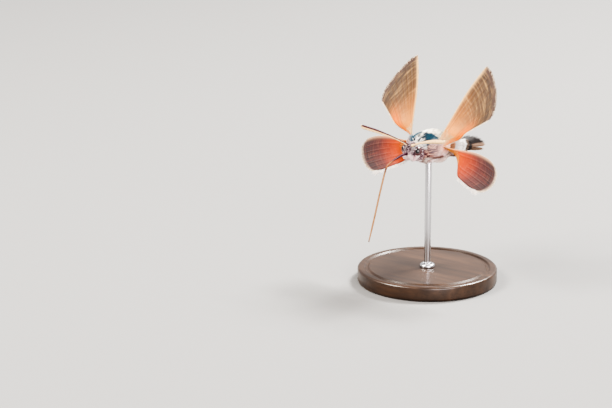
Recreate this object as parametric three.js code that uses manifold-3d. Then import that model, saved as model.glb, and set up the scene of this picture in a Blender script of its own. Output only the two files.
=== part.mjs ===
// A hummingbird hawk moth, life size, hovering with its wings raised, on a plain display stand.
//
// Millimetres, +Z up. The origin is the centre of the stand's underside.
// The moth faces -Y, so its left side is +X and its right side is the mirror of its left.
// Places on the moth are written [forward, left, up] from the middle of the thorax.
import * as THREE from "three";
import { mergeVertices } from "three/addons/utils/BufferGeometryUtils.js";
import Module from "manifold-3d";

const wasm = await Module();
wasm.setup();

// Driving dimensions
const WING_LENGTH = 23;
const HOVER_HEIGHT = 34;
const PROBOSCIS_REACH = 26.3;
const MEMBRANE = 0.5;
const GAP = 0.3;

// The rod stands under the moth's balance point, a little behind the middle of the thorax.
const ROD_FORWARD = -0.8;

// Body: centres and half sizes of egg shapes, with power above 2 making them blunter
const THORAX = {
  centre: [-0.8, 0, -0.1],
  halfLength: 5.6,
  halfWidth: 4.45,
  halfHeight: 4.2,
  power: 2.9,
  around: 28,
  along: 18,
  shapeAt: (share) => ({ wide: 1 - 0.08 * share, lift: 0.4 * share * share }),
};
const HEAD = {
  centre: [6.25, 0, 0.05],
  halfLength: 2.45,
  halfWidth: 2.5,
  halfHeight: 2.4,
  power: 2.2,
  around: 24,
  along: 14,
  shapeAt: (share) => ({ wide: 1 - 0.12 * share * share }),
};
const EYE = {
  centre: [6.45, 1.82, 0.5],
  halfLength: 1.06,
  halfWidth: 0.92,
  halfHeight: 1.12,
  power: 2,
  around: 16,
  along: 10,
};
const ABDOMEN_FRONT = -2.8;
const ABDOMEN_BACK = -16.2;
const ABDOMEN_SEGMENTS = 7;
const ABDOMEN_DROOP = 3.4;
// The abdomen is flattened, widest over its third segment, and droops to the tail
const ABDOMEN = {
  centre: [(ABDOMEN_FRONT + ABDOMEN_BACK) / 2, 0, 0],
  halfLength: (ABDOMEN_FRONT - ABDOMEN_BACK) / 2,
  halfWidth: 3.75,
  halfHeight: 3.35,
  power: 2.6,
  around: 22,
  along: 22,
  shapeAt: (share) => {
    const back = (1 - share) / 2;
    const overlap = 1 + 0.04 * (((back * ABDOMEN_SEGMENTS) % 1) - 0.5);
    return {
      wide: (1 - 0.36 * back ** 2.2) * overlap,
      deep: (1 - 0.42 * back ** 1.7) * overlap,
      lift: -ABDOMEN_DROOP * back ** 1.5,
    };
  },
};
const TAIL_LENGTH = 4.6;
const LEG_RADIUS = 0.42;

const colour = (red, green, blue) => new THREE.Color(red, green, blue);
const finish = (tint, roughness) =>
  new THREE.MeshStandardMaterial({ color: tint, roughness, metalness: 0 });
const materials = {
  thorax: finish(colour(0.45, 0.42, 0.36), 0.9),
  head: finish(colour(0.5, 0.46, 0.4), 0.9),
  eye: finish(colour(0.05, 0.03, 0.03), 0.15),
  palp: finish(colour(0.85, 0.8, 0.74), 0.9),
  horn: finish(colour(0.14, 0.07, 0.05), 0.5),
  proboscis: finish(colour(0.2, 0.1, 0.06), 0.4),
  abdomen: finish(colour(0.3, 0.26, 0.23), 0.9),
  tail: finish(colour(0.05, 0.04, 0.04), 0.9),
  forewing: finish(colour(0.5, 0.34, 0.22), 0.7),
  hindwing: finish(colour(0.85, 0.35, 0.1), 0.7),
  leg: finish(colour(0.4, 0.33, 0.28), 0.8),
  stand: finish(colour(0.12, 0.065, 0.035), 0.4),
  rod: finish(colour(0.7, 0.7, 0.72), 0.25),
};

// A place on the moth in the part's own frame
function place([forward, left, up]) {
  return new THREE.Vector3(left, ROD_FORWARD - forward, HOVER_HEIGHT + up);
}

// A direction on the moth, made one long
function direction([forward, left, up]) {
  return new THREE.Vector3(left, -forward, up).normalize();
}

const smooth = THREE.MathUtils.smoothstep;
const lerp = THREE.MathUtils.lerp;

// Joining and cutting
function toSolid(geometry) {
  const bare = geometry.index ? geometry.toNonIndexed() : geometry.clone();
  bare.deleteAttribute("normal");
  bare.deleteAttribute("uv");
  const merged = mergeVertices(bare, 1e-4);
  return new wasm.Manifold(
    new wasm.Mesh({
      numProp: 3,
      vertProperties: new Float32Array(merged.attributes.position.array),
      triVerts: new Uint32Array(merged.index.array),
    }),
  );
}

function toGeometry(solid) {
  const mesh = solid.getMesh();
  const geometry = new THREE.BufferGeometry();
  geometry.setAttribute("position", new THREE.BufferAttribute(mesh.vertProperties, 3));
  geometry.setIndex(new THREE.BufferAttribute(mesh.triVerts, 1));
  geometry.computeVertexNormals();
  return geometry;
}

function join(solids) {
  return solids.reduce((whole, piece) => whole.add(piece));
}

function cut(solid, tools) {
  const left = tools.reduce((rest, tool) => rest.subtract(tool), solid);
  return left.decompose().reduce((a, b) => (a.volume() > b.volume() ? a : b));
}

// A point on an egg shape grown by some distance: share runs from -1 at its back to 1 at its
// front, and angle from 0 on its left over 90 degrees on its top.
function onOvoid(shape, share, angle, grow = 0) {
  const { wide = 1, deep = 1, lift = 0 } = shape.shapeAt ? shape.shapeAt(share) : {};
  const radius = Math.max(0, 1 - Math.abs(share) ** shape.power) ** (1 / shape.power);
  return [
    shape.centre[0] + share * (shape.halfLength + grow),
    shape.centre[1] + Math.cos(angle) * radius * (shape.halfWidth * wide + grow),
    shape.centre[2] + Math.sin(angle) * radius * (shape.halfHeight * deep + grow) + lift,
  ];
}

// A closed egg shape along the moth's length
function ovoid(shape, grow = 0) {
  const geometry = new THREE.SphereGeometry(1, shape.around, shape.along);
  const points = geometry.attributes.position;
  for (let i = 0; i < points.count; i += 1) {
    const axis = -points.getY(i);
    const share = Math.sign(axis) * Math.min(1, Math.abs(axis)) ** (2 / shape.power);
    const angle = Math.atan2(points.getZ(i), points.getX(i));
    const atPole = Math.abs(points.getY(i)) > 1 - 1e-9;
    const spot = place(onOvoid(shape, atPole ? Math.sign(axis) : share, angle, grow));
    points.setXYZ(i, spot.x, spot.y, spot.z);
  }
  return toSolid(geometry);
}

// A closed tube along the given places, with radiusAt giving its radius by the share along it.
// Where flatFace is given, the section is squashed by flatten in that direction.
function limb(places, radiusAt, { sides = 8, steps = 14, flatten = 1, flatFace } = {}) {
  const path = new THREE.CatmullRomCurve3(places.map(place), false, "centripetal");
  const frames = path.computeFrenetFrames(steps, false);
  if (flatFace) {
    frames.tangents.forEach((tangent, i) => {
      const thin = direction(flatFace);
      thin.addScaledVector(tangent, -thin.dot(tangent)).normalize();
      frames.binormals[i] = thin;
      frames.normals[i] = thin.clone().cross(tangent);
    });
  }
  const geometry = new THREE.CylinderGeometry(1, 1, 1, sides, steps);
  const points = geometry.attributes.position;
  for (let i = 0; i < points.count; i += 1) {
    const share = points.getY(i) + 0.5;
    const step = Math.round(share * steps);
    const radius = radiusAt(share);
    const spot = path
      .getPointAt(share)
      .addScaledVector(frames.normals[step], points.getX(i) * radius)
      .addScaledVector(frames.binormals[step], -points.getZ(i) * radius * flatten);
    points.setXYZ(i, spot.x, spot.y, spot.z);
  }
  return toSolid(geometry);
}

// A thin closed sheet: middle(u, v) is its middle surface and halfThickness(u, v) its half wall.
// Both faces take the same triangles, and a strip closes the edge.
function sheet(shares, rays, middle, halfThickness) {
  const columns = rays.length;
  const rows = shares.length;
  const grid = new THREE.PlaneGeometry(1, 1, columns - 1, rows - 1).index.array;
  const step = 1e-3;
  const faces = [[], []];
  for (const u of shares) {
    for (const v of rays) {
      const spot = middle(u, v);
      const alongRay = middle(u + step, v).sub(middle(u - step, v));
      const acrossRays = middle(u, v + step).sub(middle(u, v - step));
      const normal = alongRay.cross(acrossRays).normalize();
      const half = halfThickness(u, v);
      faces[0].push(spot.clone().addScaledVector(normal, half));
      faces[1].push(spot.clone().addScaledVector(normal, -half));
    }
  }
  const shift = faces[0].length;
  const triangles = [];
  for (let i = 0; i < grid.length; i += 3) {
    const [a, b, c] = grid.slice(i, i + 3);
    triangles.push(a, b, c, a + shift, c + shift, b + shift);
  }
  const rim = [];
  for (let i = 0; i < columns - 1; i += 1) rim.push(i);
  for (let j = 0; j < rows - 1; j += 1) rim.push(j * columns + columns - 1);
  for (let i = columns - 1; i > 0; i -= 1) rim.push((rows - 1) * columns + i);
  for (let j = rows - 1; j > 0; j -= 1) rim.push(j * columns);
  rim.forEach((near, i) => {
    const far = rim[(i + 1) % rim.length];
    triangles.push(near, far, far + shift, near, far + shift, near + shift);
  });
  const geometry = new THREE.BufferGeometry().setFromPoints([...faces[0], ...faces[1]]);
  geometry.setIndex(triangles);
  const solid = toSolid(geometry);
  if (solid.volume() > 0) return solid;
  for (let i = 0; i < triangles.length; i += 3) {
    [triangles[i + 1], triangles[i + 2]] = [triangles[i + 2], triangles[i + 1]];
  }
  geometry.setIndex(triangles);
  return toSolid(geometry);
}

// Wings
//
// A wing is a fan of rays from its root chord to its outer margin. In the wing's own plane,
// x runs out along the leading edge and y back across the wing, both in millimetres.
const FOREWING = {
  root: [1.9, 3.5, 0.9],
  span: [-11.9, 6.0, 18.2],
  chordAtRoot: [-0.86, 0.4, -0.25],
  chord: [0.15, 0.96, -0.25],
  turnedBy: 0.3,
  rootChord: 0.1 * WING_LENGTH,
  apex: [WING_LENGTH, 0.02 * WING_LENGTH],
  tornus: [0.55 * WING_LENGTH, 0.42 * WING_LENGTH],
  leadingBulge: 0.03 * WING_LENGTH,
  marginBulge: 0.06 * WING_LENGTH,
  roundedApex: 0.012,
  roundedTornus: 0.06,
  hindBulge: -0.022 * WING_LENGTH,
  camber: 0.035 * WING_LENGTH,
  veins: [0.03, 0.09, 0.17, 0.28, 0.41, 0.55, 0.68, 0.81, 0.95],
  cell: { from: 0.17, to: 0.68, at: 0.46 },
};
const HINDWING = {
  root: [-0.9, 3.7, 0.4],
  span: [0, 1, -0.07],
  chordAtRoot: [-0.85, 0.1, -0.5],
  chord: [0.21, -0.11, -0.97],
  turnedBy: 0.45,
  rootChord: 0.13 * WING_LENGTH,
  apex: [0.68 * WING_LENGTH, 0.04 * WING_LENGTH],
  tornus: [0.52 * WING_LENGTH, 0.37 * WING_LENGTH],
  leadingBulge: 0.05 * WING_LENGTH,
  marginBulge: 0.09 * WING_LENGTH,
  roundedApex: 0.09,
  roundedTornus: 0.09,
  hindBulge: 0.012 * WING_LENGTH,
  camber: 0.03 * WING_LENGTH,
  veins: [0.04, 0.18, 0.34, 0.5, 0.66, 0.81, 0.95],
  cell: { from: 0.18, to: 0.66, at: 0.5 },
};
const ROUNDED_SHARE = 0.17;
const VEIN_HALF_WIDTH = 0.014;
const VEIN_RISE = 0.12;

// How far a ray reaches of its full length: the rays beside a rounded corner are shorter
function rayReach(wing, v) {
  const nearApex = Math.max(0, 1 - v / ROUNDED_SHARE) ** 2;
  const nearTornus = Math.max(0, 1 - (1 - v) / ROUNDED_SHARE) ** 2;
  return 1 - wing.roundedApex * nearApex - wing.roundedTornus * nearTornus;
}

// Where a ray's share of the way out falls in the wing's own plane
function planform(wing, rayShare, v) {
  const u = rayShare * rayReach(wing, v);
  const outer = [
    lerp(wing.apex[0], wing.tornus[0], v),
    lerp(wing.apex[1], wing.tornus[1], v),
  ];
  const edge = [wing.tornus[0] - wing.apex[0], wing.tornus[1] - wing.apex[1]];
  const edgeLength = Math.hypot(...edge);
  const bulge = wing.marginBulge * 4 * v * (1 - v);
  const x = u * (outer[0] + (edge[1] / edgeLength) * bulge);
  const margin = outer[1] - (edge[0] / edgeLength) * bulge;
  const leading = -wing.leadingBulge * Math.sin(Math.PI * Math.max(u, 0) ** 1.6) * (1 - v) ** 2;
  const hind = wing.hindBulge * Math.sin(Math.PI * u) * v ** 3;
  return [x, lerp(v * wing.rootChord, margin, u) + leading + hind];
}

// The wing's middle surface: its chord turns from the thorax's flank to the open wing
function wingMiddle(wing, u, v) {
  const [x, y] = planform(wing, u, v);
  const turn = smooth(x / wing.apex[0], 0, wing.turnedBy);
  const chord = direction(wing.chordAtRoot).lerp(direction(wing.chord), turn).normalize();
  const span = direction(wing.span);
  const face = span.clone().cross(chord).normalize();
  const arch = wing.camber * Math.sin(Math.PI * v) * Math.sin(Math.PI * u * 0.8);
  return place(wing.root)
    .addScaledVector(span, x)
    .addScaledVector(chord, y)
    .addScaledVector(face, arch);
}

// Half the wall: thicker on a vein's line and on the bar that closes the cell
function wingHalfThickness(wing, u, v) {
  const { from, to, at } = wing.cell;
  const onVein = wing.veins.some((vein) => Math.abs(vein - v) < 1e-6);
  const inCell = v > from + 1e-6 && v < to - 1e-6 && u < at - 1e-6;
  const onBar = Math.abs(u - at) < 1e-6 && v > from && v < to;
  const raised = (onVein && !inCell) || onBar;
  const thinned = 1 - 0.25 * smooth(u, 0.9, 1);
  return (MEMBRANE / 2) * thinned + (raised ? VEIN_RISE * thinned : 0);
}

function wingSolid(wing, neighbours) {
  const rays = new Set([0, 1]);
  wing.veins.forEach((vein, i) => {
    [-1, 0, 1].forEach((side) => rays.add(vein + side * VEIN_HALF_WIDTH));
    if (i > 0) rays.add((vein + wing.veins[i - 1]) / 2);
  });
  const { at } = wing.cell;
  const shares = [0, 0.13, 0.28, at - 0.02, at, at + 0.02, 0.62, 0.76, 0.9, 1];
  const solid = sheet(
    shares,
    [...rays].sort((a, b) => a - b),
    (u, v) => wingMiddle(wing, u, v),
    (u, v) => wingHalfThickness(wing, u, v),
  );
  return cut(solid, neighbours);
}

const group = new THREE.Group();
const leftSide = new THREE.Group();
const rightSide = new THREE.Group();
rightSide.scale.x = -1;
group.add(leftSide, rightSide);

function add(name, solid, material, parent = group) {
  const mesh = new THREE.Mesh(toGeometry(solid), material);
  mesh.name = name;
  parent.add(mesh);
}

function addPair(name, solid, material) {
  add(name + "_left", solid, material, leftSide);
  add(name + "_right", solid, material, rightSide);
}

const grownThorax = ovoid(THORAX, GAP);
const grownHead = ovoid(HEAD, GAP);
const grownAbdomen = ovoid(ABDOMEN, GAP);
const mirrored = (shape) => ({
  ...shape,
  centre: [shape.centre[0], -shape.centre[1], shape.centre[2]],
});
const grownEyes = [EYE, mirrored(EYE)].map((shape) => ovoid(shape, GAP));

// The proboscis leaves between the palps, runs forward, bends at its knee and hangs to its tip
const KNEE = [16.7, 0, -1.3];
const FACE_FRONT = HEAD.centre[0] + HEAD.halfLength;
const PROBOSCIS_RADIUS = 0.27;
const hangs = [0.379, 0, -0.925];
const lowerLength = PROBOSCIS_REACH - (KNEE[0] - FACE_FRONT);
const belowKnee = (distance) => KNEE.map((value, i) => value + hangs[i] * distance);
const upperPlaces = [
  [FACE_FRONT - 1.6, 0, -0.6],
  [FACE_FRONT + 0.6, 0, 0.05],
  [FACE_FRONT + 4, 0, -0.1],
  [KNEE[0] - 0.9, 0, KNEE[2] + 0.35],
  belowKnee(0.9),
];
const proboscisUpper = (grow = 0) =>
  limb(upperPlaces, (t) => PROBOSCIS_RADIUS + 0.08 * (1 - t) + grow, { steps: 22 });
const proboscisLower = limb(
  [belowKnee(0.9 + GAP), belowKnee(lowerLength * 0.5), belowKnee(lowerLength)],
  (t) => PROBOSCIS_RADIUS * (1 - 0.45 * smooth(t, 0.7, 1)),
  { steps: 12 },
);

// Legs, tucked against the underside as in flight: each lies half sunk in a groove of the coat.
// A place on one is given by how far forward it is, its angle from straight below towards the
// flank, and how far it stands out of the body.
function under(shape, forward, turn, out) {
  const share = (forward - shape.centre[0]) / shape.halfLength;
  const [, left, up] = onOvoid(shape, share, THREE.MathUtils.degToRad(turn - 90), out);
  return [forward, left, up];
}

const legPlaces = {
  foreleg: [
    under(THORAX, 2.0, 27, -0.9),
    under(THORAX, 3.2, 33, 0),
    under(THORAX, 3.9, 45, 0.2),
    under(THORAX, 3.1, 58, 0.05),
    under(THORAX, 1.4, 64, 0.1),
    under(THORAX, -0.6, 66, 0.2),
  ],
  midleg: [
    under(THORAX, 0.8, 33, -0.9),
    under(THORAX, -0.6, 42, 0),
    under(THORAX, -2.8, 46, 0.1),
    under(THORAX, -4.6, 48, 0.45),
    under(ABDOMEN, -6.8, 52, 0.2),
    under(ABDOMEN, -9.2, 55, 0.3),
  ],
  hindleg: [
    under(THORAX, -1.5, 26, -0.9),
    under(THORAX, -3.0, 25, 0.1),
    under(THORAX, -4.4, 26, 0.6),
    under(ABDOMEN, -6.4, 26, 0.25),
    under(ABDOMEN, -9.4, 25, 0.2),
    under(ABDOMEN, -12.6, 24, 0.35),
  ],
};
const leg = (places, grow = 0) =>
  limb(places, (t) => LEG_RADIUS * (1 - 0.4 * smooth(t, 0.15, 0.7)) + grow, { steps: 13 });
const grooves = Object.values(legPlaces).flatMap((places) => [
  leg(places, GAP),
  leg(
    places.map(([forward, left, up]) => [forward, -left, up]),
    GAP,
  ),
]);

add("thorax", cut(ovoid(THORAX), grooves), materials.thorax);
add("head", cut(ovoid(HEAD), [grownThorax, ...grownEyes]), materials.head);
for (const [name, places] of Object.entries(legPlaces)) {
  addPair(name, leg(places), materials.leg);
}
addPair("eye", ovoid(EYE), materials.eye);
add("proboscis_upper", cut(proboscisUpper(), [grownHead]), materials.proboscis);
add("proboscis_lower", proboscisLower, materials.proboscis);

// Palps: two stout scaled lobes that curve up before the face, on each side of the proboscis
const palpPlaces = [
  [6.6, 0.75, -1.55],
  [7.9, 0.8, -1.35],
  [8.7, 0.78, -0.5],
  [8.65, 0.7, 0.6],
];
const midline = toSolid(new THREE.BoxGeometry(GAP, 80, 80).translate(0, 0, HOVER_HEIGHT));
const palp = limb(palpPlaces, (t) => 0.22 + 0.46 * Math.sin(Math.PI * (0.12 + 0.8 * t)), {
  sides: 10,
  steps: 9,
});
addPair("palp", cut(palp, [grownHead, proboscisUpper(GAP), midline, grownThorax]), materials.palp);

// Antennae: clubbed, with a small hooked tip
const antennaRoot = [7.3, 0.95, 1.95];
const antennaReach = [3.3, 11.15, 3.5];
const antennaSpot = (share, lift, hook = 0) => [
  antennaRoot[0] + antennaReach[0] * share + hook,
  antennaRoot[1] + antennaReach[1] * share,
  antennaRoot[2] + antennaReach[2] * share + lift,
];
const antennaPlaces = [
  antennaSpot(-0.05, 0),
  antennaSpot(0.25, 0.35),
  antennaSpot(0.6, 0.3),
  antennaSpot(0.93, 0),
  antennaSpot(1, 0.05, -0.4),
];
const clubRadius = (t) => 0.25 + 0.17 * smooth(t, 0.25, 0.85) - 0.3 * smooth(t, 0.92, 1);
const antenna = limb(antennaPlaces, clubRadius, { steps: 20 });
addPair("antenna", cut(antenna, [grownHead]), materials.horn);

// A flat tapered lock of scales from its root, thin in the direction flatFace
function lock({ root, along, length, width, thickness, flatFace }) {
  const at = (share) => root.map((value, i) => value + along[i] * length * share);
  const outline = (t) => (width / 2) * (0.75 + 0.6 * t) * (1 - smooth(t, 0.6, 1) * 0.75);
  return limb([at(0), at(0.5), at(1)], outline, {
    sides: 6,
    steps: 3,
    flatten: thickness / width,
    flatFace,
  });
}

// Wings
const wingNeighbours = [grownThorax, grownAbdomen];
addPair("forewing", wingSolid(FOREWING, wingNeighbours), materials.forewing);
addPair("hindwing", wingSolid(HINDWING, wingNeighbours), materials.hindwing);

// Tufts of scales stand out from the sides of the last segments of the abdomen
const TUFT = { length: 2.3, width: 0.95, thickness: 0.5 };
const tufts = [];
for (const back of [0.5, 0.63, 0.75, 0.86]) {
  for (const angle of [-0.5, 0, 0.5]) {
    for (const side of [1, -1]) {
      const [forward, left, up] = onOvoid(ABDOMEN, 1 - 2 * back, angle, -0.5);
      tufts.push(
        lock({
          ...TUFT,
          root: [forward, left * side, up],
          along: [-0.87, 0.42 * side, -0.22 + 0.12 * angle],
          flatFace: [0, side * Math.cos(angle), Math.sin(angle)],
        }),
      );
    }
  }
}
const tuftedAbdomen = join([ovoid(ABDOMEN), ...tufts]);
add("abdomen", cut(tuftedAbdomen, [grownThorax, ...grooves]), materials.abdomen);

// The tail is a brush of locks in two layers, spread sideways like a fan
const TAIL_LOCK = { width: 1.15, thickness: 0.55, flatFace: [0, 0, 1] };
const TAIL_LAYERS = [
  { up: 0.25, locks: 7, spread: 0.5 },
  { up: -0.25, locks: 8, spread: 0.62 },
];
const [tailForward, , tailUp] = onOvoid(ABDOMEN, -0.93, 0);
const tailLocks = [];
for (const { up, locks, spread } of TAIL_LAYERS) {
  for (let i = 0; i < locks; i += 1) {
    const share = i / (locks - 1) - 0.5;
    const turn = 2 * spread * share;
    tailLocks.push(
      lock({
        ...TAIL_LOCK,
        root: [tailForward + 0.5, 2.6 * share, tailUp + up],
        along: [-Math.cos(turn), Math.sin(turn), -0.26 + 0.08 * up],
        length: TAIL_LENGTH * (1 - 0.55 * share * share) + 0.8,
      }),
    );
  }
}
add("tail_fan", cut(join(tailLocks), [ovoid(ABDOMEN, GAP)]), materials.tail);

// Display stand
const BASE_RADIUS = 17;
const BASE_HEIGHT = 3.6;
const ROD_RADIUS = 0.8;
const EDGE = 0.6;
const GROOVE = { fromRim: 1.6, width: 1.3, depth: 0.35, slope: 0.4 };
const grooveOutside = BASE_RADIUS - GROOVE.fromRim;
const grooveInside = grooveOutside - GROOVE.width;
const grooveFloor = BASE_HEIGHT - GROOVE.depth;
const base = new THREE.LatheGeometry(
  [
    [0, 0],
    [BASE_RADIUS, 0],
    [BASE_RADIUS, BASE_HEIGHT - EDGE],
    [BASE_RADIUS - EDGE, BASE_HEIGHT],
    [grooveOutside, BASE_HEIGHT],
    [grooveOutside - GROOVE.slope, grooveFloor],
    [grooveInside + GROOVE.slope, grooveFloor],
    [grooveInside, BASE_HEIGHT],
    [0, BASE_HEIGHT],
  ].map(([radius, height]) => new THREE.Vector2(radius, height)),
  40,
);
base.rotateX(Math.PI / 2);
add("stand_base", toSolid(base), materials.stand);
const rodBottom = BASE_HEIGHT + GAP;
const rod = new THREE.CylinderGeometry(ROD_RADIUS, ROD_RADIUS, HOVER_HEIGHT - rodBottom, 20);
rod.rotateX(Math.PI / 2);
rod.translate(0, 0, (HOVER_HEIGHT + rodBottom) / 2);
add("stand_rod", cut(toSolid(rod), [grownThorax]), materials.rod);

export default group;
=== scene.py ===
import math

import bpy
import numpy as np
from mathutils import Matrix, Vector


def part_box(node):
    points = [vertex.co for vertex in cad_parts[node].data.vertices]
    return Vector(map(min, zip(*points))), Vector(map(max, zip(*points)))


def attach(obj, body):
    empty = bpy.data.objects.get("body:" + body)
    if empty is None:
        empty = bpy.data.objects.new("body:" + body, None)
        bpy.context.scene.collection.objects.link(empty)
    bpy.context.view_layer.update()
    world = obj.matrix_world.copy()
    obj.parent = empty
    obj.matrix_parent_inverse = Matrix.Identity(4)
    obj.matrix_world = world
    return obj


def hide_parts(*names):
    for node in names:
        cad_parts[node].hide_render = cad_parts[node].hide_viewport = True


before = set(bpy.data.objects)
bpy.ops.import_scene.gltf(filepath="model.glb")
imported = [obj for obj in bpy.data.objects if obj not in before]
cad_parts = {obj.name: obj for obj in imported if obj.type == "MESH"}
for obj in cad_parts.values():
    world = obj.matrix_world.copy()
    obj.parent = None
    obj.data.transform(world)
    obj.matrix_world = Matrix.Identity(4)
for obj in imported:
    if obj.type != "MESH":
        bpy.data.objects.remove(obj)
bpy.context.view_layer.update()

MM = 0.001
SIDES = ((1, "left"), (-1, "right"))

# Where the random draws of each kind of piece start
SEEDS = {"coat": 7, "tail": 17, "fringe": 27, "shoulder": 37, "side": 47, "leg": 57}

# The middle of the body is found from the left eye, whose place on the moth is known.
EYE_CENTRE = np.array((6.45, 1.82, 0.5))
EYE_HALF = np.array((1.06, 0.92, 1.12))
eye_low, eye_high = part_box("eye_left")
BODY_Y = (eye_low.y + eye_high.y) / 2 / MM + EYE_CENTRE[0]
BODY_Z = (eye_low.z + eye_high.z) / 2 / MM - EYE_CENTRE[2]
BODY = np.array([0, BODY_Y, BODY_Z])


# Placing and making meshes
def turned(directions):
    """Directions on the moth as directions in the scene."""
    directions = np.asarray(directions, float)
    return np.stack([directions[..., 1], -directions[..., 0], directions[..., 2]], -1)


def turned_back(directions):
    """Directions in the scene as directions on the moth."""
    return np.stack([-directions[:, 1], directions[:, 0], directions[:, 2]], -1)


def placed(spots):
    """Places on the moth as places in the scene, in metres."""
    return (turned(spots) + BODY) * MM


def mirror_spots(spots, side):
    return spots * np.array([1, side, 1])


def unit(vectors):
    vectors = np.asarray(vectors, float)
    size = np.linalg.norm(vectors, axis=-1, keepdims=True)
    return vectors / np.maximum(size, 1e-12)


def ease(value, start, end):
    """Goes smoothly from 0 at start to 1 at end."""
    share = np.clip((np.asarray(value, float) - start) / (end - start), 0, 1)
    return share * share * (3 - 2 * share)


def mix(first, second, share):
    share = np.asarray(share, float)[..., None]
    return np.asarray(first) * (1 - share) + np.asarray(second) * share


def layered(ground, *layers):
    """A colour with others laid over it in turn: each layer is a share and a tint."""
    for share, tint in layers:
        ground = mix(ground, tint, share)
    return ground


def choose(*things):
    for thing in bpy.context.selected_objects:
        thing.select_set(False)
    for thing in things:
        thing.select_set(True)
    bpy.context.view_layer.objects.active = things[0]


def joined(*things):
    choose(*things)
    bpy.ops.object.join()
    return bpy.context.object


def apply_modifier(thing, kind, **settings):
    modifier = thing.modifiers.new(kind.title(), kind)
    for name, value in settings.items():
        setattr(modifier, name, value)
    choose(thing)
    bpy.ops.object.modifier_apply(modifier=modifier.name)


def apply_place(thing):
    choose(thing)
    bpy.ops.object.transform_apply(location=True, rotation=True, scale=True)


def shade_smooth(thing, sharp_from=None):
    """Smooth shading: edges that turn by more than sharp_from degrees stay sharp."""
    choose(thing)
    if sharp_from is None:
        bpy.ops.object.shade_smooth()
    else:
        bpy.ops.object.shade_smooth_by_angle(angle=math.radians(sharp_from))


def dress(thing, materials, slot, *nodes):
    """Gives a finished piece its materials, hangs it under the root and hides the solids it stands
    for.
    """
    for material in materials:
        thing.data.materials.append(material)
    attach(thing, "root")
    if nodes:
        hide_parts(*nodes)


def add_object(name, data):
    thing = bpy.data.objects.new(name, data)
    bpy.context.scene.collection.objects.link(thing)
    return thing


def mesh_from(name, points, triangles):
    mesh = bpy.data.meshes.new(name)
    mesh.from_pydata(points.tolist(), [], triangles.tolist())
    mesh.update()
    return add_object(name, mesh)


def vertex_vectors(thing, name):
    values = np.zeros(len(thing.data.vertices) * 3)
    thing.data.vertices.foreach_get(name, values)
    return values.reshape(-1, 3)


def vertex_places(thing):
    """Where a mesh's vertices are on the moth, in millimetres."""
    return turned_back(vertex_vectors(thing, "co") / MM - BODY)


def vertex_normals(thing):
    return turned_back(vertex_vectors(thing, "normal"))


def move_vertices(thing, spots):
    thing.data.vertices.foreach_set("co", placed(spots).ravel())
    thing.data.update()


def paint(thing, colours):
    """Stores one colour per vertex under the name tint."""
    tint = thing.data.color_attributes.new(name="tint", type="FLOAT_COLOR", domain="POINT")
    rgba = np.concatenate([np.clip(colours, 0, 1), np.ones((len(colours), 1))], 1)
    tint.data.foreach_set("color", rgba.astype(np.float32).ravel())


# Materials
def operator(operation, reflected=False):
    """A Python operator on wires, which adds one Math node."""

    def apply(wire, *others):
        values = [*others, wire] if reflected else [wire, *others]
        settings = {"operation": operation}
        return wire.maker.make("ShaderNodeMath", settings, dict(enumerate(values)))

    return apply


class Wire:
    """A socket of a material's nodes that can be used in sums."""

    def __init__(self, maker, socket):
        self.maker = maker
        self.socket = socket

    __add__ = __radd__ = operator("ADD")
    __sub__ = operator("SUBTRACT")
    __rsub__ = operator("SUBTRACT", reflected=True)
    __mul__ = __rmul__ = operator("MULTIPLY")
    __pow__ = operator("POWER")
    __abs__ = operator("ABSOLUTE")
    larger = operator("MAXIMUM")
    sine = operator("SINE")


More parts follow.
